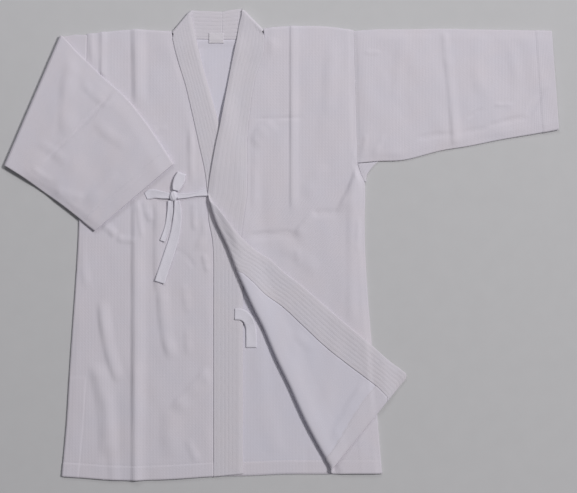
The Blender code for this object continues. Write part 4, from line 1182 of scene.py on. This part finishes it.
turn, rise = np.meshgrid(np.linspace(0.0, 2 * math.pi, 49)[:-1], np.radians(np.linspace(-84.0, 84.0, 29)))
wraps = 0.09 * np.sin(3.0 * turn + 2.2 * rise) + 0.05 * np.sin(7.0 * turn - 3.0 * rise)
slots = -0.16 * np.exp(-((np.sin(turn - 0.9 + 0.5 * rise) / 0.16) ** 2)) * (np.cos(rise) ** 2)
size = 1.0 + wraps * np.cos(rise) + slots
power = np.abs(np.cos(rise)) ** 0.8
face = grid(
    KNOT_X + KNOT_HALF[0] * size * power * np.cos(turn),
    KNOT_Y + KNOT_HALF[1] * size * np.sin(rise),
    KNOT_Z + KNOT_HALF[2] * size * power * np.sin(turn),
)
knot, _, _ = shell(
    "tie_knot_tape", face, KNOT_WALL, grid(9.0 * rise, 6.0 * turn), 1.0, [TAPE, TAPE], closed=True
)
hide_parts("tie_knot")

# The inner tie: a short length of the same cotton tape, sewn at the right collar's free edge. It bends round
# and hangs down on the back's inside.
INNER_TIE = [
    Stretch(27, 292, 20, 0.5), Stretch(39, 291, 20, 0.5), Stretch(49, 284, 18, 0.5),
    Stretch(55, 270, 18, 0.5), Stretch(56.5, 252, 19, 0.5), Stretch(56.5, 232, 19, 0.5),
]


def inner_tie_bed(x, y):
    on_collar = 1.0 - smooth((x - read(UNDER_COLLAR, "edge_x", y, key="edge_y") - 1.0) / 6.0)
    return FRONT_BED + CROSSING_RISE * on_collar


face, place = ribbon(INNER_TIE, 36, inner_tie_bed, 0.4)
inner_tie, _, _ = shell("inner_tie_tape", face, RIBBON_WALL, place, 1.0, [TAPE, TAPE])
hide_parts("inner_tie")

# The neck label: a small bare piece of smooth woven tape, sewn round its four sides to the collar behind the
# neck and to the back.
LABEL_WALL = 0.5
LABEL_TOP = 797.0
LABEL_BOTTOM = 779.0
LABEL_LEFT = 6.5
LABEL_RIGHT = -20.0
LABEL_LOW = 1.95 + NECK_ALLOWANCE
LABEL_HIGH = COLLAR_WALL + 0.65
LABEL_CLOTH = tape("label_cloth", (0.83, 0.795, 0.85))
rows = np.linspace(LABEL_TOP, LABEL_BOTTOM, 16)
columns = np.linspace(LABEL_RIGHT, LABEL_LEFT, 20)
x, y = np.meshgrid(columns, rows)
z = blend(LABEL_LOW, LABEL_HIGH, smooth((y - LABEL_BOTTOM) / 8.0))
z += 0.15 * np.sin(x / 4.0) * np.sin(y / 3.0)
label, label_outer, label_up = shell(
    "neck_label_cloth", grid(x, y, z), LABEL_WALL, grid(x, y), -1.0, [LABEL_CLOTH, LABEL_CLOTH]
)
label_stitches = stitches("label_stitches", [
    (label_outer[1, 1:-1], label_up[1, 1:-1]), (label_outer[-2, 1:-1], label_up[-2, 1:-1]),
    (label_outer[1:-1, 1], label_up[1:-1, 1]), (label_outer[1:-1, -2], label_up[1:-1, -2]),
], THREAD)
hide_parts("neck_label")

# The studio floor: a wide sheet of plain pale paper, a hair below the jacket, so that the cloth rests on it
# without cutting into it. It only stages the picture.
FLOOR_WIDTH = 14.0
FLOOR_LEVEL = -0.0002
bpy.ops.mesh.primitive_plane_add(size=FLOOR_WIDTH, location=(0.0, 0.0, FLOOR_LEVEL))
floor = bpy.context.active_object
floor.name = "floor"
paper, shader = plain("studio_floor", Roughness=0.9)
places = paper.node_tree.nodes.new("ShaderNodeTexCoord").outputs["Object"]
fibres = texture(paper, "TexNoise", "faint fibres", places, Scale=30.0)
shade = mixed(paper, "floor colour", fibres, (0.60, 0.60, 0.61), (0.63, 0.63, 0.64))
paper.node_tree.links.new(shade, shader.inputs["Base Color"])
floor.data.materials.append(paper)

# Soft studio light: a soft lamp high on the upper right, far enough off to light the jacket evenly, a weak
# wide one over the head side and a pale surround.
for name, place, size, power, colour in (
    ("key_light", (4.5, 2.25, 6.3), 1.3, 372.0, (1.0, 0.985, 0.98)),
    ("fill_light", (-0.3, 1.7, 1.6), 1.0, 8.5, (0.96, 0.96, 1.0)),
):
    lamp = bpy.data.objects.new(name, bpy.data.lights.new(name, "AREA"))
    lamp.data.size = size
    lamp.data.energy = power
    lamp.data.color = colour
    lamp.location = place
    lamp.rotation_euler = (-Vector(place)).to_track_quat("-Z", "Y").to_euler()
    bpy.context.scene.collection.objects.link(lamp)
surround = bpy.data.worlds.new("surround")
surround.use_nodes = True
surround.node_tree.nodes["Background"].inputs["Color"].default_value = (0.95, 0.95, 1.0, 1.0)
surround.node_tree.nodes["Background"].inputs["Strength"].default_value = 0.145
bpy.context.scene.world = surround
bpy.context.scene.view_settings.view_transform = "Standard"

# The camera: straight above the jacket, looking down through a lens long enough to keep its sides upright, as
# the photograph was taken.
CAMERA_HEIGHT = 3.0
VIEW_WIDTH = 1.0386
cam = bpy.data.objects.new("camera", bpy.data.cameras.new("camera"))
bpy.context.scene.collection.objects.link(cam)
cam.location = (0.0104, -0.0031, CAMERA_HEIGHT)
cam.data.lens = cam.data.sensor_width * CAMERA_HEIGHT / VIEW_WIDTH
bpy.context.scene.camera = cam
